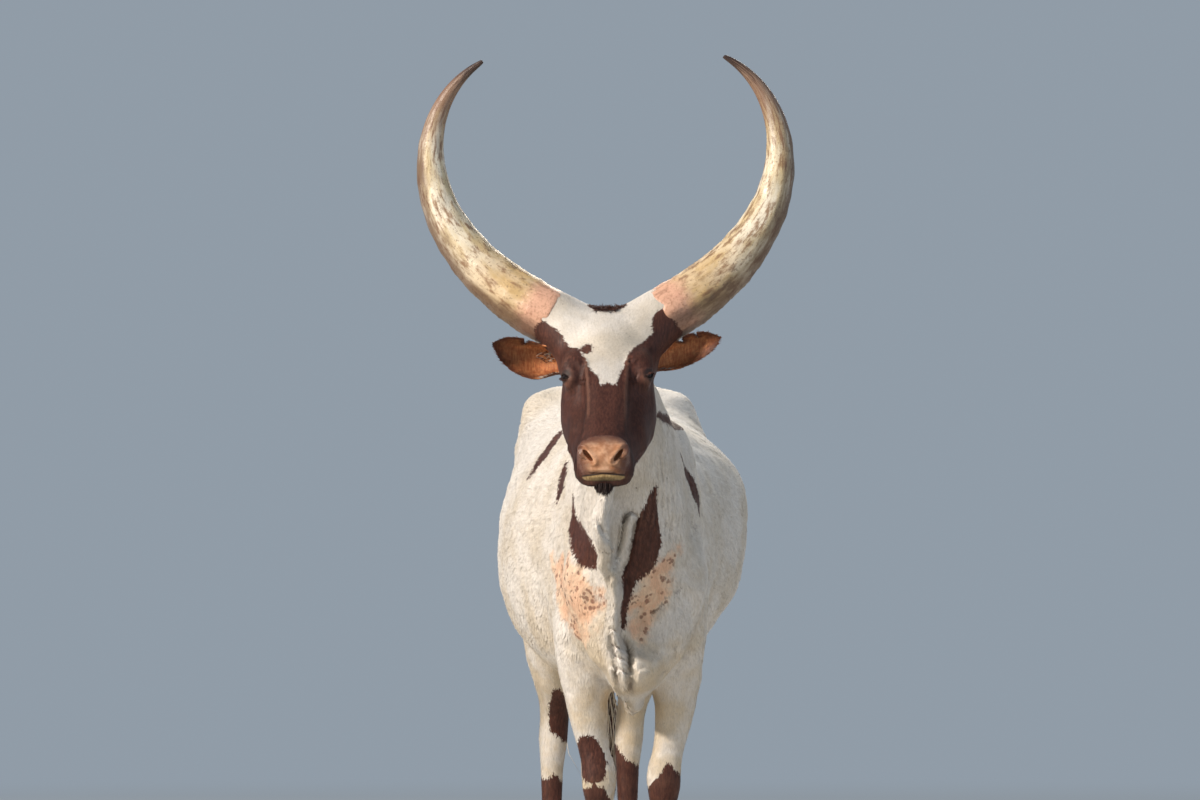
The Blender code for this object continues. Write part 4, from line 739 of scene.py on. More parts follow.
def bare_depth(points):
    """How far inside the thinly haired pink skin of breast and udder each point lies."""
    bare = 0.10 - np.linalg.norm((points - UDDER) * np.array((1, 0.7, 1)), axis=1)
    for squash, chain in BARE:
        bare = np.maximum(bare, chain_distance(points, chain, (1, squash, 1)))
    return bare


def pad_depth(points):
    """How far inside the bare skin of nose and lips each point lies."""
    across, along, out = in_head(points).T
    aside = np.abs(across - MUZZLE_SHIFT)
    top = 0.416 + 0.25 * np.maximum(aside - 0.030, 0)
    side = spline([0.40, 0.425, 0.45, 0.475, 0.50], [0.037, 0.055, 0.059, 0.050, 0.043], along)[:, 0] - aside
    pad = np.minimum(np.minimum(along - top, side), out + 0.066)
    return np.where(points[:, 1] < -0.9, pad, -9.0)


def lip_depth(points):
    """How far below the line of the mouth each point of the pale lower lip lies."""
    across, along, out = in_head(points).T
    aside = np.abs(across - MUZZLE_SHIFT)
    low = 0.743 * along - 0.669 * out
    return np.where(points[:, 1] < -0.9, low - 0.391 - 0.1 * aside, -9.0)


def mark(piece, name, values):
    """Keeps one number for each vertex, for the material to read."""
    found = piece.data.attributes.new(name, "FLOAT", "POINT")
    found.data.foreach_set("value", np.asarray(values, np.float32))


def hollow(points, pairs, rounds):
    """How far each point lies below its surroundings, in metres."""
    normals = normals_of(hide)
    mean = settle(points, pairs, rounds, np.full(len(points), 0.6))
    return ((mean - points) * normals).sum(axis=1)


points = points_of(hide)
pairs = pairs_of(hide)
mark(hide, "brown", brown_depth(points))
mark(hide, "bare", bare_depth(points))
mark(hide, "pad", pad_depth(points))
mark(hide, "lip", lip_depth(points))
dips = hollow(points, pairs, 6)
across, along, out = in_head(points).T
ridge = spline([0.10, 0.17, 0.26, 0.38], [0.040, 0.046, 0.042, 0.041], along)[:, 0]
# The two ridges of the face count as standing proud, so that the brown there gets the painted highlight of
# proud skin.
ridge_highlight = swell(np.abs(across) - ridge, 0.0040) * step(along, 0.08, 0.15) * (1 - step(along, 0.30, 0.39))
dips -= 0.0022 * ridge_highlight * step(out, -0.10, -0.05)
mark(hide, "hollow", dips)
eye_gap = np.min([np.linalg.norm(points - np.array(eye), axis=1) for eye in eyes], axis=0) - BALL
mark(hide, "eye_gap", eye_gap)
# The ear's cup is bare orange skin inside, and dark along its edge.
ear_in = np.zeros(len(points))
ear_edge = np.full(len(points), -1.0)
normals = normals_of(hide)
for side in ("left", "right"):
    low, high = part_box(f"ear_{side}")
    tree = ear_trees[side]
    boxed = np.flatnonzero(((points > np.array(low) - 0.004) & (points < np.array(high) + 0.004)).all(axis=1))
    near = np.array([tree.find_nearest(Vector(points[k]))[3] for k in boxed]) < 0.0006
    mine = boxed[near]
    front = normals[mine] @ np.array((0.10 if side == "left" else -0.10, -0.96, -0.26))
    cup, back = mine[front > 0.15], mine[front <= 0.15]
    gaps = np.linalg.norm(points[cup][:, None] - points[back][None], axis=2).min(axis=1)
    ear_edge[mine] = 0
    ear_edge[cup] = gaps
    ear_in[cup] = 1
mark(hide, "ear_in", ear_in)
mark(hide, "ear_edge", ear_edge)

# Cattle hair is smooth keratin over oily skin: a low, broad sheen on the coat, and a sharper one
# on the moist pad of the nose. Dust yellows the white below the belly. Name and size in
# millimetres of each random pattern on the coat, with its detail and roughness:
PATTERNS = (
    ("ragged edge", 7.5, 4, 0.6),
    ("broad tone", 160, 4, 0.6),
    ("fleck", 8.5, 2, 0.5),
    ("patch of bare skin", 45, 3, 0.5),
    ("blush", 40, 3, 0.55),
    ("crowd of freckles", 30, 2, 0.55),
    ("mottled nose", 22, 3, 0.55),
)
STREAK = 4.5 * MM
FRECKLE = 12.82 * MM
NOSE_GRAIN = 2.381 * MM


def coat_colours(tree, place):
    """The colours of the whole coat, with painted shade in its creases and a painted highlight on proud brown
    skin, its streaks, and where the bare pad of the nose is.
    """
    kept = {name: node(tree, "Attribute", out="Fac", attribute_name=name) for name in KEPT}
    pattern = {}
    for name, size, detail, rough in PATTERNS:
        scale = 1 / (size * MM)
        inputs = {"Vector": place, "Scale": scale, "Detail": detail, "Roughness": rough}
        pattern[name] = node(tree, "TexNoise", inputs)
    along_hair = node(tree, "Mapping", {"Vector": place, "Scale": (1, 0.6, 0.22)})
    inputs = {"Vector": along_hair, "Scale": 1 / STREAK, "Detail": 4, "Roughness": 0.65}
    streaks = node(tree, "TexNoise", inputs)
    soft = {"interpolation_type": "SMOOTHSTEP"}
    times = {"operation": "MULTIPLY"}
    plus_times = {"operation": "MULTIPLY_ADD"}

    tone = pattern["broad tone"]
    flecked = node(tree, "MapRange", (pattern["fleck"], 0.70, 0.76), **soft)
    flecked = node(tree, "Math", (flecked, node(tree, "MapRange", (tone, 0.45, 0.6), **soft)), **times)
    level = node(tree, "SeparateXYZ", {"Vector": place}, "Z")
    dusty = node(tree, "MapRange", (level, 0.95, 0.45, 0, 0.55), **soft)
    dusty = node(tree, "Math", (dusty, node(tree, "MapRange", (tone, 0.38, 0.62), **soft)), **times)
    white_layers = (
        (tone, (0.35, 0.72), "#D4C9B8"),
        (streaks, (0.48, 0.80, 0, 0.44), "#AFA189"),
        (flecked, (), "#8C8174"),
        (dusty, (), "#D6BE94"),
    )
    brown_layers = (
        (streaks, (0.3, 0.8), "#673C2E"),
        (tone, (0.50, 0.75, 0, 0.40), "#2C1813"),
        # Proud brown skin is lighter: a painted highlight.
        (kept["hollow"], (-0.0004, -0.0022, 0, 0.38), "#8E6450"),
    )
    ear_layers = (
        (streaks, (0.3, 0.7), "#E39A62"),
        (kept["ear_edge"], (0.0078, 0.0020, 0, 0.9), "#43201A"),
    )
    ragged = node(tree, "Math", (pattern["ragged edge"], 0.5), operation="SUBTRACT")
    brown_in = node(tree, "Math", (ragged, 0.014, kept["brown"]), **plus_times)
    pad_in = node(tree, "Math", (ragged, 0.010, kept["pad"]), **plus_times)
    pad_in = node(tree, "MapRange", (pad_in, -0.0015, 0.003), **soft)

    spread = node(tree, "Math", (pattern["patch of bare skin"], 0.5), operation="SUBTRACT")
    bare_in = node(tree, "Math", (spread, 0.10, kept["bare"]), **plus_times)
    bare_in = node(tree, "MapRange", (bare_in, -0.012, 0.018, 0, 0.85), **soft)
    pink = painted(tree, "#E8B995", ((pattern["blush"], (0.35, 0.65), "#F0D2B4"),))
    cells = node(tree, "TexVoronoi", {"Vector": place, "Scale": 1 / FRECKLE, "Randomness": 1})
    reach = node(tree, "MapRange", (pattern["crowd of freckles"], 0.44, 0.58, 0.02, 0.45), **soft)
    freckled = node(tree, "Math", (cells, reach), operation="SUBTRACT")
    freckled = node(tree, "MapRange", (freckled, 0.14, -0.12, 0, 0.85), **soft)
    freckled = node(tree, "Math", (freckled, bare_in), **times)

    lip = kept["lip"]
    # The lower lip darkens towards its underside: painted shade.
    lower_lip_layers = ((streaks, (0.35, 0.65), "#8B7048"), (lip, (0.007, 0.019), "#1D1311"))
    from_mouth = node(tree, "Math", (lip, 0.0005), operation="SUBTRACT")
    from_mouth = node(tree, "Math", (from_mouth,), operation="ABSOLUTE")
    nose_layers = (
        (pattern["mottled nose"], (0.36, 0.66), "#DCAC88"),
        (node(tree, "Math", (spread, 0.03, kept["pad"]), **plus_times), (0.028, 0.004, 0, 0.90), "#5A362C"),
        (lip, (-0.001, 0.0015), painted(tree, "#B69C6C", lower_lip_layers)),
        # The groove between the lips is darkened: painted shade.
        (from_mouth, (0.0030, 0.0012, 0, 0.95), "#2A1812"),
    )
    whole_layers = (
        (bare_in, (), pink),
        (freckled, (), "#7A4A3A"),
        (brown_in, (-0.0010, 0.0010), painted(tree, "#40221B", brown_layers)),
        (kept["ear_in"], (), painted(tree, "#B9653A", ear_layers)),
        (pad_in, (), painted(tree, "#B17A55", nose_layers)),
        (lip, (0.018, 0.024, 0, 0.8), "#1D1311"),
        (kept["eye_gap"], (0.0064, 0.0034), "#1C110E"),
    )
    whole = painted(tree, painted(tree, "#E5DFD7", white_layers), whole_layers)
    # Painted shade darkens the creases, but not the cup of the ear, which is one large hollow.
    sunk = node(tree, "MapRange", (kept["hollow"], 0.0002, 0.0022, 0, 0.6), **soft)
    off_ear = node(tree, "Math", (1.0, kept["ear_in"]), operation="SUBTRACT")
    sunk = node(tree, "Math", (sunk, off_ear), **times)
    mixed = {0: sunk, 6: whole, 7: "#6A5240"}
    whole = node(tree, "Mix", mixed, 2, data_type="RGBA", blend_type="MULTIPLY")
    return whole, streaks, pad_in


def coat_material(name, of_hair):
    """The hide's look, and the same for its tufts, each of which has its own shade."""
    sheen = {"Specular_IOR_Level": 0.34, "Sheen_Weight": 0.06, "Sheen_Roughness": 0.45}
    made, tree, shader = new_material(name, IOR=1.5, **sheen)
    place = node(tree, "TexCoord", out="Object")
    tint, streaks, pad_in = coat_colours(tree, place)
    if of_hair:
        shade = node(tree, "Attribute", out="Fac", attribute_name="shade")
        shade = node(tree, "MapRange", (shade, 0, 1, 0.89, 1.05), interpolation_type="SMOOTHSTEP")
        light = node(tree, "CombineColor", (shade, shade, shade))
        mixed = {0: 1.0, 6: tint, 7: light}
        tint = node(tree, "Mix", mixed, 2, data_type="RGBA", blend_type="MULTIPLY")
    else:
        grain = node(
            tree,
            "TexVoronoi",
            {"Vector": place, "Scale": 1 / NOSE_GRAIN},
            feature="DISTANCE_TO_EDGE",
        )
        grain = node(tree, "MapRange", (grain, 0, 0.12), interpolation_type="SMOOTHSTEP")
        hairs = node(tree, "Math", (grain, pad_in, streaks), operation="MULTIPLY_ADD")
        bump = node(tree, "Bump", {"Height": hairs, "Strength": 0.5, "Distance": 1.2 * MM})
        tree.links.new(bump, shader.inputs["Normal"])
    tree.links.new(tint, shader.inputs["Base Color"])
    rough = node(tree, "MapRange", (pad_in, 0, 1, 0.58, 0.30), interpolation_type="SMOOTHSTEP")
    tree.links.new(rough, shader.inputs["Roughness"])
    return made


hide.data.materials.clear()
hide.data.materials.append(coat_material("short cattle hair and skin", False))

# The horns: sheaths of horn over a core of bone, with close growth rings by the root, pink skin
# where they leave the head, and darker, smoother tips. The length is measured along the bend.
HORN_LENGTH = 0.749
RINGS = 46
# What the horn's vertices keep: their share of its length, and two ways round it.
HORN_MARKS = ("share", "outside", "aside")
HORN_STEPS = 240
# The middle between the horns, that their bends curl round.
BEND_X, BEND_Z = 0.004, 1.76


def horn_line(side, count):
    """Points along the middle of a horn, from root to tip."""
    distances = np.linspace(0, HORN_LENGTH, count)
    turns = math.radians(30.4) + math.radians(58) * distances + math.radians(139.9) * distances**2
    small = HORN_LENGTH / (count - 1)
    share = distances / HORN_LENGTH
    x = 0.1442 + np.concatenate([[0], np.cumsum(np.cos((turns[1:] + turns[:-1]) / 2) * small)])
    z = -0.0086 + np.concatenate([[0], np.cumsum(np.sin((turns[1:] + turns[:-1]) / 2) * small)])
    y = 0.042 + 0.15 * share - 0.10 * share**2.5
    local = np.stack([side * x, y, z], axis=1)
    turn = np.array(SKULL)
    return local @ turn[:3, :3].T + turn[:3, 3]


# Horn is layered keratin, grown in fibres and worn satin by rubbing: cream and ochre with brown
# fibres along it, pink where it leaves the skin, darker at the tips, and darker outside the bend, on its
# underside, as painted shade.
# The pattern runs on the horn's own surface: along it and round it, as if unrolled.
UNROLLED = (0.20, 0.045, 0.045)
horn_look, tree, shader = new_material("layered cattle horn", IOR=1.54)
share, outside, aside = (node(tree, "Attribute", out="Fac", attribute_name=n) for n in HORN_MARKS)
unrolled = [
    node(tree, "Math", (value, length), operation="MULTIPLY")
    for value, length in zip((share, outside, aside), UNROLLED)
]
wrap = node(tree, "CombineXYZ", unrolled)
place = node(tree, "TexCoord", out="Object")
fibres, blotch, specks = (
    node(tree, "TexNoise", {"Vector": way, "Scale": 1 / (size * MM), "Detail": detail, "Roughness": rough})
    for way, size, detail, rough in ((wrap, 10, 5, 0.62), (wrap, 35, 4, 0.6), (place, 6, 4, 0.7))
)
# What drives each change of colour, with a random part so that no edge is clean.
off_fibre = node(tree, "Math", (fibres, 0.5), operation="SUBTRACT")
off_blotch = node(tree, "Math", (blotch, 0.5), operation="SUBTRACT")
from_root = node(tree, "Math", (off_blotch, 0.06, share), operation="MULTIPLY_ADD")
# Darker outside the bend, which is the horn's underside: painted shade.
underside_shade = node(tree, "Math", (off_blotch, 1.6, outside), operation="MULTIPLY_ADD")
inner = node(tree, "Math", (off_fibre, 2.0), operation="MULTIPLY")
inner = node(tree, "Math", (inner, outside), operation="SUBTRACT")
to_tip = node(tree, "Math", (off_fibre, 0.30, share), operation="MULTIPLY_ADD")
root_pink = painted(tree, "#DDA98F", ((specks, (0.46, 0.68, 0, 0.8), "#A8755B"),))
HORN_LAYERS = (
    (blotch, (0.38, 0.62), "#CDB88E"),
    (share, (0.40, 0.10, 0, 0.6), "#C79E5E"),
    (fibres, (0.47, 0.66, 0, 0.85), "#8A6543"),
    (specks, (0.54, 0.70, 0, 0.75), "#6B4C34"),
    (from_root, (0.090, 0.020, 0, 0.85), root_pink),
    (underside_shade, (0.25, 0.90, 0, 0.85), "#5A3F30"),
    (inner, (0.70, 1.15, 0, 0.55), "#7C6148"),
    (to_tip, (0.58, 0.84, 0, 0.88), "#7E5C48"),
    (to_tip, (0.86, 0.97, 0, 0.95), "#33201B"),
)
tree.links.new(painted(tree, "#EAE0CA", HORN_LAYERS), shader.inputs["Base Color"])
rough = node(tree, "MapRange", (specks, 0.3, 0.7, 0.34, 0.55), interpolation_type="SMOOTHSTEP")
tree.links.new(rough, shader.inputs["Roughness"])
relief = node(tree, "Math", (specks, 0.6, fibres), operation="MULTIPLY_ADD")
bump = node(tree, "Bump", {"Height": relief, "Strength": 0.6, "Distance": 1.5 * MM})
tree.links.new(bump, shader.inputs["Normal"])

for side, name in ((1, "left"), (-1, "right")):
    horn = fused_copy([f"horn_{name}"], f"long_horn_{name}")
    finish_with(horn, "SUBSURF", levels=2, render_levels=2)
    points = points_of(horn)
    line = horn_line(side, HORN_STEPS)
    gaps = np.linalg.norm(points[:, None, :] - line[None, :, :], axis=2)
    nearest = gaps.argmin(axis=1)
    share = nearest / (HORN_STEPS - 1)
    start, onward = line[0], line[4] - line[0]
    onward /= np.linalg.norm(onward)
    behind = (points - start) @ onward
    share = np.where(behind < 0.02, behind / HORN_LENGTH, share)
    normals = normals_of(horn)
    rings = np.sin(2 * math.pi * (share * RINGS + 0.10 * hidden_wave(points, 0.10, 3)))
    fade = step(share, 0.01, 0.04) * (1 - step(share, 0.16, 0.42))
    lumps = hidden_wave(points, 0.05, 8)
    relief = 0.0010 * rings * fade + 0.0012 * lumps * (1 - step(share, 0.5, 0.9))
    points += normals * relief[:, None]
    radial = points - line[nearest]
    ahead = line[np.minimum(nearest + 3, HORN_STEPS - 1)] - line[np.maximum(nearest - 3, 0)]
    ahead /= np.linalg.norm(ahead, axis=1)[:, None]
    outer = line[nearest] - np.array((BEND_X, line[:, 1].mean(), BEND_Z))
    outer -= (outer * ahead).sum(axis=1)[:, None] * ahead
    outer /= np.linalg.norm(outer, axis=1)[:, None]
    radial /= np.linalg.norm(radial, axis=1)[:, None] + 1e-9
    mark(horn, "outside", (radial * outer).sum(axis=1))
    mark(horn, "aside", (radial * np.cross(ahead, outer)).sum(axis=1))
    # The root goes on under the skin.
    root = np.clip((0.004 - behind) / 0.004, 0, 1)
    points -= root[:, None] * onward * 0.030
    move_points(horn, points)
    mark(horn, "share", share)
    horn.data.materials.append(horn_look)
    bpy.ops.object.shade_smooth()
    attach(horn, "root")
    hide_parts(f"horn_{name}")

# The claws and dewclaws: hoof horn, nearly black and dull, worn smooth, with growth lines round
# them and dust at the ground. The lines are 5.7 mm apart, wider than real ones, so that they
# show. A wave of scale 1 has 20 radians to a metre.
GROWTH_LINES = 5.712 * MM
hoof_look, tree, shader = new_material("dark hoof horn", IOR=1.54)
place = node(tree, "TexCoord", out="Object")
level = node(tree, "SeparateXYZ", {"Vector": place}, "Z")
lines = node(
    tree,
    "TexWave",
    {"Vector": place, "Scale": 2 * math.pi / 20 / GROWTH_LINES, "Distortion": 3, "Detail": 3},
    "Fac",
    bands_direction="Z",
)
grain = node(tree, "TexNoise", {"Vector": place, "Scale": 1 / (20 * MM), "Detail": 3, "Roughness": 0.55})
HOOF_LAYERS = (
    (grain, (0.35, 0.65), "#3B2C24"),
    (lines, (0.55, 0.9, 0, 0.5), "#5A4838"),
    (level, (0.030, 0.004, 0, 0.6), "#8E7B62"),
)
tree.links.new(painted(tree, "#1E1714", HOOF_LAYERS), shader.inputs["Base Color"])
rough = node(tree, "MapRange", (level, 0, 0.06, 0.75, 0.42), interpolation_type="SMOOTHSTEP")
tree.links.new(rough, shader.inputs["Roughness"])
bump = node(tree, "Bump", {"Height": lines, "Strength": 0.5, "Distance": 0.8 * MM})
tree.links.new(bump, shader.inputs["Normal"])
for name in sorted(n for n in nodes if "claw" in n):
    claw = fused_copy([name], name + "_horn")
    finish_with(claw, "SUBSURF", levels=2, render_levels=2)
    claw.data.materials.append(hoof_look)
    bpy.ops.object.shade_smooth()
    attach(claw, "root")
    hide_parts(name)

# The coat. Short flat hair lies in thin tapered tufts from the whorl on the forehead down the
# face, back along neck and trunk and down the legs, longest on trunk and rump.
hide.data.calc_loop_triangles()
corners = np.empty(len(hide.data.loop_triangles) * 3, np.int32)
hide.data.loop_triangles.foreach_get("vertices", corners)
corners = corners.reshape(-1, 3)
points = points_of(hide)
normals = normals_of(hide)
a, b, c = (points[corners[:, k]] for k in range(3))
areas = np.linalg.norm(np.cross(b - a, c - a), axis=1) / 2
centres = (a + b + c) / 3
skins = {name: np.empty(len(points), np.float32) for name in KEPT}
for name, values in skins.items():
    hide.data.attributes[name].data.foreach_get("value", values)


def lie_of(points, part):
    """The way the hair lies: from the whorl down the face, back and down on neck and trunk, down
    the legs and the tail, and out along the ears."""
    x, y, z = points.T
    face = in_head(points)
    ways = np.stack([np.zeros(len(x)), np.ones(len(x)), -0.45 - 0.5 * step(0.9 - z, 0, 0.3)], axis=1)
    neck = step(-y, 0.25, 0.45)
    ways[:, 2] -= 0.6 * neck
    leg = step(0.66 - z, 0, 0.12)
    ways = ways * (1 - leg)[:, None] + leg[:, None] * np.array((0, 0.10, -1.0))
    tail = part == "tail"
    ways[tail] = (0, 0.05, -1)
    head = part == "head"
    whorl = np.array((0.0, 0.155, 0.0))
    spread = face - whorl
    spread[:, 2] -= 0.05
    turn = np.array(HEAD)[:3, :3]
    ways[head] = (spread @ turn.T)[head]
    ear = part == "ear"
    out = np.stack([np.sign(x), np.full(len(x), -0.1), np.full(len(x), 0.35)], axis=1)
    ways[ear] = out[ear]
    return ways


# Which part of the animal each triangle of the skin belongs to.
part = np.full(len(centres), "trunk", dtype="<U8")
face = in_head(centres)
part[(centres[:, 1] < -0.30) & (centres[:, 2] > 0.60)] = "neck"
part[(centres[:, 2] < 0.66) & (np.abs(centres[:, 0] - 0.03) > 0.03) & (centres[:, 1] < 0.15)] = "fore"
part[(centres[:, 2] < 0.72) & (centres[:, 1] > 0.50)] = "hind"
part[(centres[:, 1] > 0.985) | ((centres[:, 1] > 0.95) & (np.abs(centres[:, 0] + 0.01) < 0.045))] = "tail"
on_ear = (skins["ear_edge"] > -0.5)[corners].any(axis=1)
front = (face[:, 2] > spline(*zip(*NAPE_LINE), face[:, 1])[:, 0]) & (centres[:, 1] < -0.62)
part[front & (centres[:, 2] > 1.02)] = "head"
part[on_ear] = "ear"


# The unwrap's size for a metre of skin, its margin, and the gap between its charts.
FLAT_METRE = 0.20
MARGIN = 0.004
CHART_GAP = 0.006


def unwrap(points, normals, names):
    """Lays the skin out flat, each part of it by the side it faces, in a grid of charts."""
    order = ("trunk", "neck", "head", "fore", "hind", "tail", "ear")
    side = np.abs(normals).argmax(axis=1)
    facing = side * 2 + (np.take_along_axis(normals, side[:, None], 1)[:, 0] > 0)
    flat = np.empty((len(points), 2))
    shelf, across, tall = MARGIN, MARGIN, 0.0
    for name in order:
        mine = names == name
        right = points[:, 0] > 0.03
        for half in ((True, False) if name in ("fore", "hind", "ear") else (None,)):
            wing = mine if half is None else mine & (right == half)
            for way in range(6):
                chosen = wing & (facing == way)
                if not chosen.any():
                    continue
                axes = [k for k in (0, 1, 2) if k != way // 2]
                sheet = points[chosen][:, axes]
                low = sheet.min(axis=0)
                wide, high = (sheet.max(axis=0) - low) * FLAT_METRE
                if across + wide > 1 - MARGIN:
                    shelf, across, tall = shelf + tall + CHART_GAP, MARGIN, 0.0
                flat[chosen] = (sheet - low) * FLAT_METRE + (across, shelf)
                across += wide + CHART_GAP
                tall = max(tall, high)
    return flat


# Each tuft's patch of the unwrap is this wide.
PATCH = 0.003
skin_points = KDTree(len(centres))
for k, spot in enumerate(centres):
    skin_points.insert(spot, k)
skin_points.balance()
spots = unwrap(centres, np.cross(b - a, c - a) / (2 * areas[:, None] + 1e-12), part)


def hair_piece(name, chosen, count, length, width, stand, seed):
    """One piece of coat: flat tapered tufts rooted on the chosen triangles of the skin."""
    rng = np.random.default_rng(seed)
    picks = np.flatnonzero(chosen)
    tri = rng.choice(picks, size=count, p=areas[picks] / areas[picks].sum())
    u, v = rng.random((2, count))
    flip = u + v > 1
    u[flip], v[flip] = 1 - u[flip], 1 - v[flip]
    shares = np.stack([1 - u - v, u, v], axis=1)
    roots = (points[corners[tri]] * shares[:, :, None]).sum(axis=1)
    up = (normals[corners[tri]] * shares[:, :, None]).sum(axis=1)
    up /= np.linalg.norm(up, axis=1)[:, None]
    way = lie_of(roots, part[tri])
    way /= np.linalg.norm(way, axis=1)[:, None] + 1e-9
    way = way + rng.normal(size=(count, 3)) * 0.16
    way -= (way * up).sum(axis=1)[:, None] * up
    way /= np.linalg.norm(way, axis=1)[:, None] + 1e-9
    aside = np.cross(up, way)
    # Hair is shorter where the skin bends sharply.
    size = length * rng.uniform(0.7, 1.25, count)
    bent = np.abs((skins["hollow"][corners[tri]] * shares).sum(axis=1))
    size *= 1 - 0.6 * step(bent, 0.0004, 0.0018)
    half = width / 2 * rng.uniform(0.7, 1.2, count)
    rise = stand * rng.uniform(0.6, 1.3, count)
    bend = aside * (rng.normal(size=count) * 0.10 * size)[:, None]
    # Each tuft is a strip of four corners with a tip, rooted just under the skin.
    base = roots - up * 0.0006
    middle = roots + way * (size * 0.5)[:, None] + up * (rise * 0.8)[:, None] + bend * 0.3
    tip = roots + way * size[:, None] + up * rise[:, None] + bend
    rows = [
        base - aside * (half * 0.7)[:, None],
        base + aside * (half * 0.7)[:, None],
        middle - aside * half[:, None],
        middle + aside * half[:, None],
        tip,
    ]
    verts = np.stack(rows, axis=1).reshape(-1, 3)
    start = np.arange(count)[:, None] * 5
    quads = start + np.array((0, 2, 3, 1))
    tips = start + np.array((2, 4, 3))
    mesh = bpy.data.meshes.new(name)
    mesh.vertices.add(len(verts))
    mesh.vertices.foreach_set("co", verts.ravel())
    loops = np.concatenate([quads, tips], axis=1).ravel()
    mesh.loops.add(len(loops))
    mesh.loops.foreach_set("vertex_index", loops)
    starts = np.stack([np.arange(count) * 7, np.arange(count) * 7 + 4], axis=1).ravel()
    mesh.polygons.add(len(starts))
    mesh.polygons.foreach_set("loop_start", starts)
    mesh.update(calc_edges=True)
    mesh.polygons.foreach_set("use_smooth", np.ones(len(starts), bool))
    piece = bpy.data.objects.new(name, mesh)
    bpy.context.scene.collection.objects.link(piece)
    for label, values in skins.items():
        found = (values[corners[tri]] * shares).sum(axis=1)
        mark(piece, label, np.repeat(found, 5))
    mark(piece, "shade", np.repeat(rng.random(count), 5))
    patch = np.array(((-1, -1), (1, -1), (-1, 0), (1, 0), (0, 1))) * PATCH / 2
    flat = (spots[tri][:, None, :] + patch).reshape(-1, 2)
    layer = mesh.uv_layers.new(name="OFBake")
    layer.data.foreach_set("uv", flat[loops].ravel().astype(np.float32))
    # It is shaded mostly like the skin, so that the coat looks smooth from afar.
    own = np.cross(tip - base, aside)
    own /= np.linalg.norm(own, axis=1)[:, None] + 1e-9
    shown = up * 0.85 + own * 0.15 * np.sign((own * up).sum(axis=1))[:, None]
    shown /= np.linalg.norm(shown, axis=1)[:, None]
    mesh.normals_split_custom_set_from_vertices(np.repeat(shown, 5, axis=0))
    mesh.materials.append(hair)
    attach(piece, "root")


hair = coat_material("short cattle hair", True)
# No hair grows on the pad of the nose, by the eyes, or deep in the ears.
free = (skins["pad"][corners].max(axis=1) < -0.002) & (skins["eye_gap"][corners].min(axis=1) > 0.008)
free &= (skins["ear_in"][corners].max(axis=1) < 0.5) | (skins["ear_edge"][corners].max(axis=1) < 0.010)
left_side = centres[:, 0] > 0.04
everywhere = np.ones(len(centres), bool)
# Each piece: the part it grows on, and on which side, how many tufts, how long and wide they are,
# how far they stand off, and the seed of their places.
COAT = (
    ("left_side", "trunk", left_side, 60000, 0.020, 0.0040, 0.0016, 1),
    ("right_side", "trunk", ~left_side, 60000, 0.020, 0.0040, 0.0016, 2),
    ("neck", "neck", everywhere, 62000, 0.014, 0.0030, 0.0015, 3),
    ("head", "head", everywhere, 60000, 0.0075, 0.0018, 0.0008, 4),
    ("fore_legs", "fore", everywhere, 36000, 0.010, 0.0024, 0.0010, 5),
    ("hind_legs", "hind", everywhere, 50000, 0.012, 0.0026, 0.0011, 6),
    ("tail", "tail", everywhere, 7000, 0.012, 0.0026, 0.0010, 9),
    ("ears", "ear", everywhere, 12000, 0.010, 0.0016, 0.0012, 7),
)
for name, where, side, *tufts in COAT:
    hair_piece("coat_" + name, free & (part == where) & side, *tufts)


# Locks that grow outside the markings keep these values, unless they are given others.
FILLER = {"brown": -0.1, "bare": -9, "pad": -9, "lip": -9, "hollow": 0, "eye_gap": 1, "ear_in": 0}
FILLER["ear_edge"] = -1


def locks(name, roots, ways, lengths, width, hang, marks, places, seed):
    """Longer hair: round tapered locks that start along ways and hang more towards their tips."""
    rng = np.random.default_rng(seed)
    count = len(roots)
    ways = ways / np.linalg.norm(ways, axis=1)[:, None]
    aside = np.cross(ways, rng.normal(size=(count, 3)))
    aside /= np.linalg.norm(aside, axis=1)[:, None]
    other = np.cross(ways, aside)
    curl = rng.normal(size=count) * 0.10 * lengths
    # Four rings of three corners, ever smaller, and a tip.
    rings = []
    for t in (0.0, 0.25, 0.5, 0.75):
        middle = roots + ways * (lengths * t)[:, None] + aside * (curl * math.sin(3 * t))[:, None]
        middle[:, 2] -= hang * lengths * t * t
        thick = width / 2 * rng.uniform(0.8, 1.2, count) * (1 - t) ** 0.6
        for k in range(3):
            turn = 2 * math.pi * k / 3
            rings.append(middle + (aside * math.cos(turn) + other * math.sin(turn)) * thick[:, None])
    tip = roots + ways * lengths[:, None] + aside * (curl * math.sin(3))[:, None]
    tip[:, 2] -= hang * lengths
    verts = np.stack(rings + [tip], axis=1).reshape(-1, 3)
    faces = [(2, 1, 0)]
    for row in range(3):
        for k in range(3):
            low, high = row * 3 + k, row * 3 + (k + 1) % 3
            faces += [(low, high, high + 3), (low, high + 3, low + 3)]
    faces += [(9, 10, 12), (10, 11, 12), (11, 9, 12)]
    faces = (np.arange(count)[:, None, None] * 13 + np.array(faces)).reshape(-1, 3)
    mesh = bpy.data.meshes.new(name)
    mesh.from_pydata(verts, [], faces)
    mesh.polygons.foreach_set("use_smooth", np.ones(len(faces), bool))
    piece = bpy.data.objects.new(name, mesh)
    bpy.context.scene.collection.objects.link(piece)
    for label, value in {**FILLER, **marks}.items():
        mark(piece, label, np.repeat(np.broadcast_to(value, count), 13))
    mark(piece, "shade", np.repeat(rng.random(count), 13))
    spread = rng.uniform(-PATCH / 2, PATCH / 2, (count, 13, 2))
    flat = (places[:, None, :] + spread).reshape(-1, 2)
    layer = mesh.uv_layers.new(name="OFBake")
    layer.data.foreach_set("uv", flat[faces.ravel()].ravel().astype(np.float32))
    mesh.materials.append(hair)
    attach(piece, "root")
    return piece


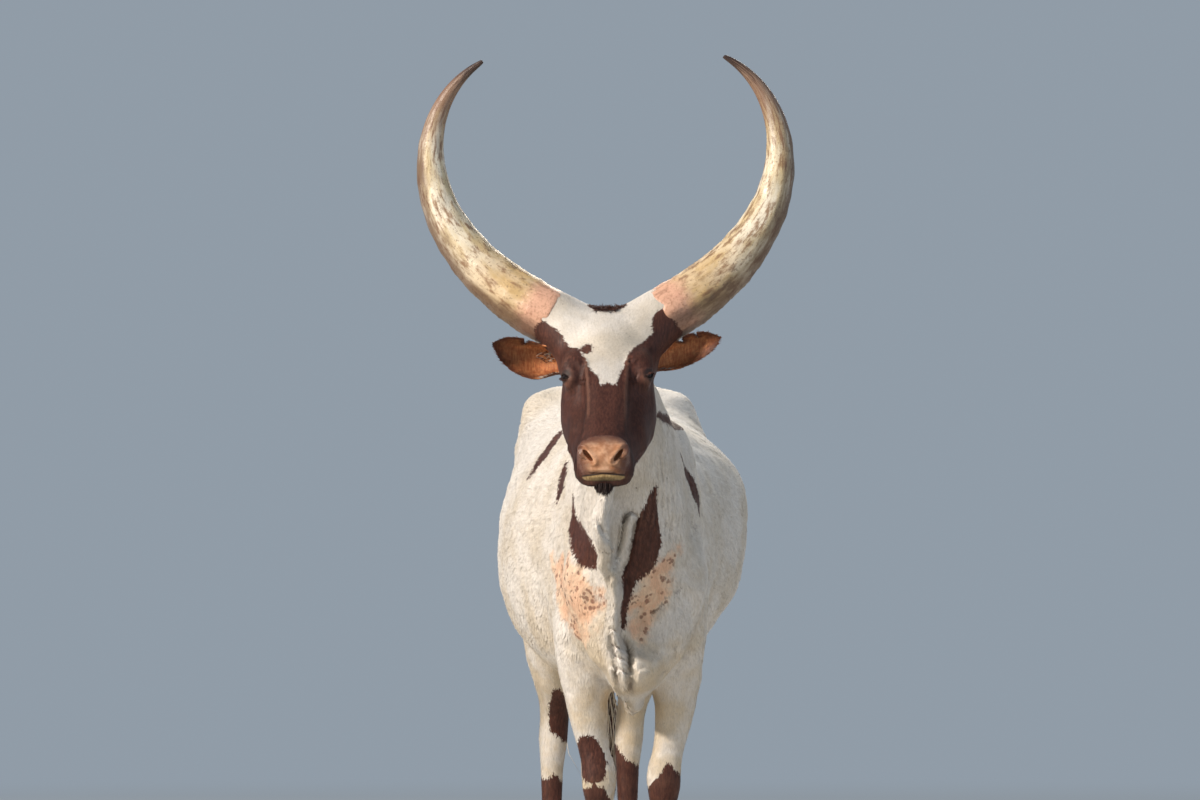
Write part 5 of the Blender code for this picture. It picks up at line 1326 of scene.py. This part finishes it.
def rooted(chosen, count, seed):
    """Random root points on the chosen triangles of the skin, with their normals."""
    rng = np.random.default_rng(seed)
    picks = np.flatnonzero(chosen)
    tri = rng.choice(picks, size=count, p=areas[picks] / areas[picks].sum())
    shares = rng.dirichlet((1, 1, 1), count)
    roots = (points[corners[tri]] * shares[:, :, None]).sum(axis=1)
    up = (normals[corners[tri]] * shares[:, :, None]).sum(axis=1)
    return tri, roots - up * 0.001, up / np.linalg.norm(up, axis=1)[:, None], rng


# The tail's switch: long locks, dirty white and brown, from the last joints of the tail. They
# hang well below the hocks and part a little at their ends.
SWITCH_END = 0.285
low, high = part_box("tail_switch")
rng = np.random.default_rng(31)
count = 1500
turn = rng.uniform(0, 2 * math.pi, count)
level = rng.uniform(0.40, 0.675, count)
out = np.stack([np.cos(turn), np.sin(turn), np.zeros(count)], axis=1)
axis = np.array(((low[0] + high[0]) / 2, (low[1] + high[1]) / 2, 0))
thick = 0.009 + 0.010 * np.sin(math.pi * np.clip((0.70 - level) / 0.35, 0, 1))
roots = axis + out * (thick * np.sqrt(rng.random(count)))[:, None]
roots[:, 2] = level
ways = out * rng.uniform(0.02, 0.12, count)[:, None] + np.array((0, 0, -1.0))
lengths = np.minimum(rng.uniform(0.10, 0.30, count), level - SWITCH_END)
places = np.stack([0.02 + turn / 6.3 * 0.12, 0.70 + level * 0.2], axis=1)
dark = np.where(rng.random(count) < 0.45, 0.05, -0.05)
switch = locks("switch_of_the_tail", roots, ways, lengths, 0.0042, 0.02, {"brown": dark}, places, 32)
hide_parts("tail_switch")

# A dark tuft stands on the poll between the horns, and falls forward over its edge in a bow.
POLL_REACH = 0.048
face = in_head(centres)
off_middle = face[:, 0] / POLL_REACH
off_bow = (face[:, 1] + 0.010 + 0.010 * off_middle**2) / 0.021
chosen = (np.hypot(off_middle, off_bow) < 1) & (centres[:, 2] > 1.40)
tri, roots, up, rng = rooted(chosen, 900, 33)
ways = up * 0.30 + np.array((0, -0.70, -0.15)) + rng.normal(size=up.shape) * 0.30
size = rng.uniform(0.010, 0.024, 900) * (1 - 0.8 * (in_head(roots)[:, 0] / POLL_REACH) ** 2)
tuft = locks("tuft_on_the_poll", roots, ways, size, 0.0026, 0.25, {"brown": 0.05}, spots[tri], 34)

# Dark hair hangs under the chin.
CHIN_REACH = 0.021
lips = skins["lip"][corners].mean(axis=1)
chosen = (lips > 0.020) & (np.abs(face[:, 0] - MUZZLE_SHIFT) < CHIN_REACH) & (face[:, 1] > 0.40)
tri, roots, up, rng = rooted(chosen, 420, 35)
ways = up * 0.30 + np.array((0, -0.05, -1.0)) + rng.normal(size=up.shape) * 0.16
off_middle = (in_head(roots)[:, 0] - MUZZLE_SHIFT) / CHIN_REACH
size = rng.uniform(0.010, 0.028, 420) * (1 - 0.7 * off_middle**2)
dark = {"brown": 0.05, "lip": 0.03}
beard = locks("hair_of_the_chin", roots, ways, size, 0.0022, 0.1, dark, spots[tri], 36)

# Fine hair, brown with some white in it, fills the roots of the ears.
tops = np.array(((-0.122, -0.690, 1.364), (0.135, -0.690, 1.369)))
inside = on_ear & (np.linalg.norm(centres[:, None] - tops, axis=2).min(axis=1) < 0.030)
tri, roots, up, rng = rooted(inside, 180, 37)
outward = np.sign(roots[:, 0]) * 0.9
ways = up * 0.35 + np.stack([outward, np.full(180, -0.1), np.full(180, 0.25)], axis=1)
ways += rng.normal(size=up.shape) * 0.25
dark = {"brown": np.where(rng.random(180) < 0.75, 0.05, -0.05)}
size = rng.uniform(0.008, 0.022, 180)
fluff = locks("hair_of_the_ears", roots, ways, size, 0.0016, 0.1, dark, spots[tri], 38)

# Lashes: one row along each upper lid, turned down.
LASHES = 46
lash_roots = []
lash_ways = []
for side in (1, -1):
    spot = np.array(eye_frame(side))
    for across in np.linspace(-0.0135, 0.0135, LASHES):
        lift = LID_BOW * math.cos(math.asin(across / LID_BOW)) - LID_SHIFT
        height = math.sqrt(max((BALL + 0.0026) ** 2 - across**2 - lift**2, 0))
        start = spot[:3, :3] @ np.array((across, lift + 0.0008, height)) + spot[:3, 3]
        way = spot[:3, :3] @ np.array((across * 12, -0.10, 1.0))
        lash_roots.append(start)
        lash_ways.append(way + np.array((0, 0, -0.35)))
lash_roots = np.array(lash_roots)
near = [skin_points.find(Vector(spot))[1] for spot in lash_roots]
size = np.full(2 * LASHES, 0.0085)
dark = {"brown": 0.05}
lashes = locks("lashes", lash_roots, np.array(lash_ways), size, 0.0011, 0.2, dark, spots[near], 39)

# A plain pale floor runs back to a plain pale blue-grey backdrop. Warm light comes from high on
# the left of the camera, with cooler and weaker light from all round.
BACKDROP = "#C6D5E4"
BACKDROP_STRENGTH = 0.50
# The floor fades into the backdrop between these distances.
FADE = (3.5, 14.0)
bpy.ops.mesh.primitive_circle_add(vertices=64, radius=40, fill_type="NGON", location=(0, 0, 0))
floor = bpy.context.object
floor.name = "floor"
floor_look, tree, shader = new_material("pale matt floor", Roughness=0.9)
place = node(tree, "TexCoord", out="Object")
far = node(tree, "VectorMath", (place,), "Value", operation="LENGTH")
grain = node(tree, "TexNoise", {"Vector": place, "Scale": 1 / (20 * MM), "Detail": 4, "Roughness": 0.55})
tint = painted(tree, "#C2BEB6", ((grain, (0.35, 0.65), "#BCB8B0"),))
tree.links.new(tint, shader.inputs["Base Color"])
glow = node(tree, "Emission", {"Color": BACKDROP, "Strength": BACKDROP_STRENGTH})
far = node(tree, "MapRange", (far, *FADE), interpolation_type="SMOOTHSTEP")
fade = node(tree, "MixShader", (far, shader.outputs[0], glow))
tree.links.new(fade, tree.nodes["Material Output"].inputs["Surface"])
floor.data.materials.append(floor_look)
floor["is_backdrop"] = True
# Each light's place, width, power and tint: the key, its fill, and one from behind.
LIGHTS = (
    ((-9.2, -6.4, 6.8), 1.6, 1930, "#FFF3E6"),
    ((7.0, -5.0, 3.0), 5.0, 70, "#DCE8FF"),
    ((1.0, 7.0, 5.5), 4.0, 420, "#FFF2E0"),
)
LIT = Vector((0, 0, 1.1))
for spot, size, power, tint in LIGHTS:
    bpy.ops.object.light_add(type="AREA", location=spot)
    light = bpy.context.object
    light.data.size = size
    light.data.energy = power
    light.data.color = colour(tint)[:3]
    light.rotation_euler = (LIT - Vector(spot)).to_track_quat("-Z", "Y").to_euler()
world = bpy.data.worlds.new("studio")
bpy.context.scene.world = world
world.use_nodes = True
world.node_tree.nodes["Background"].inputs["Color"].default_value = colour(BACKDROP)
world.node_tree.nodes["Background"].inputs["Strength"].default_value = BACKDROP_STRENGTH
bpy.context.scene.view_settings.view_transform = "Standard"

low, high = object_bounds()
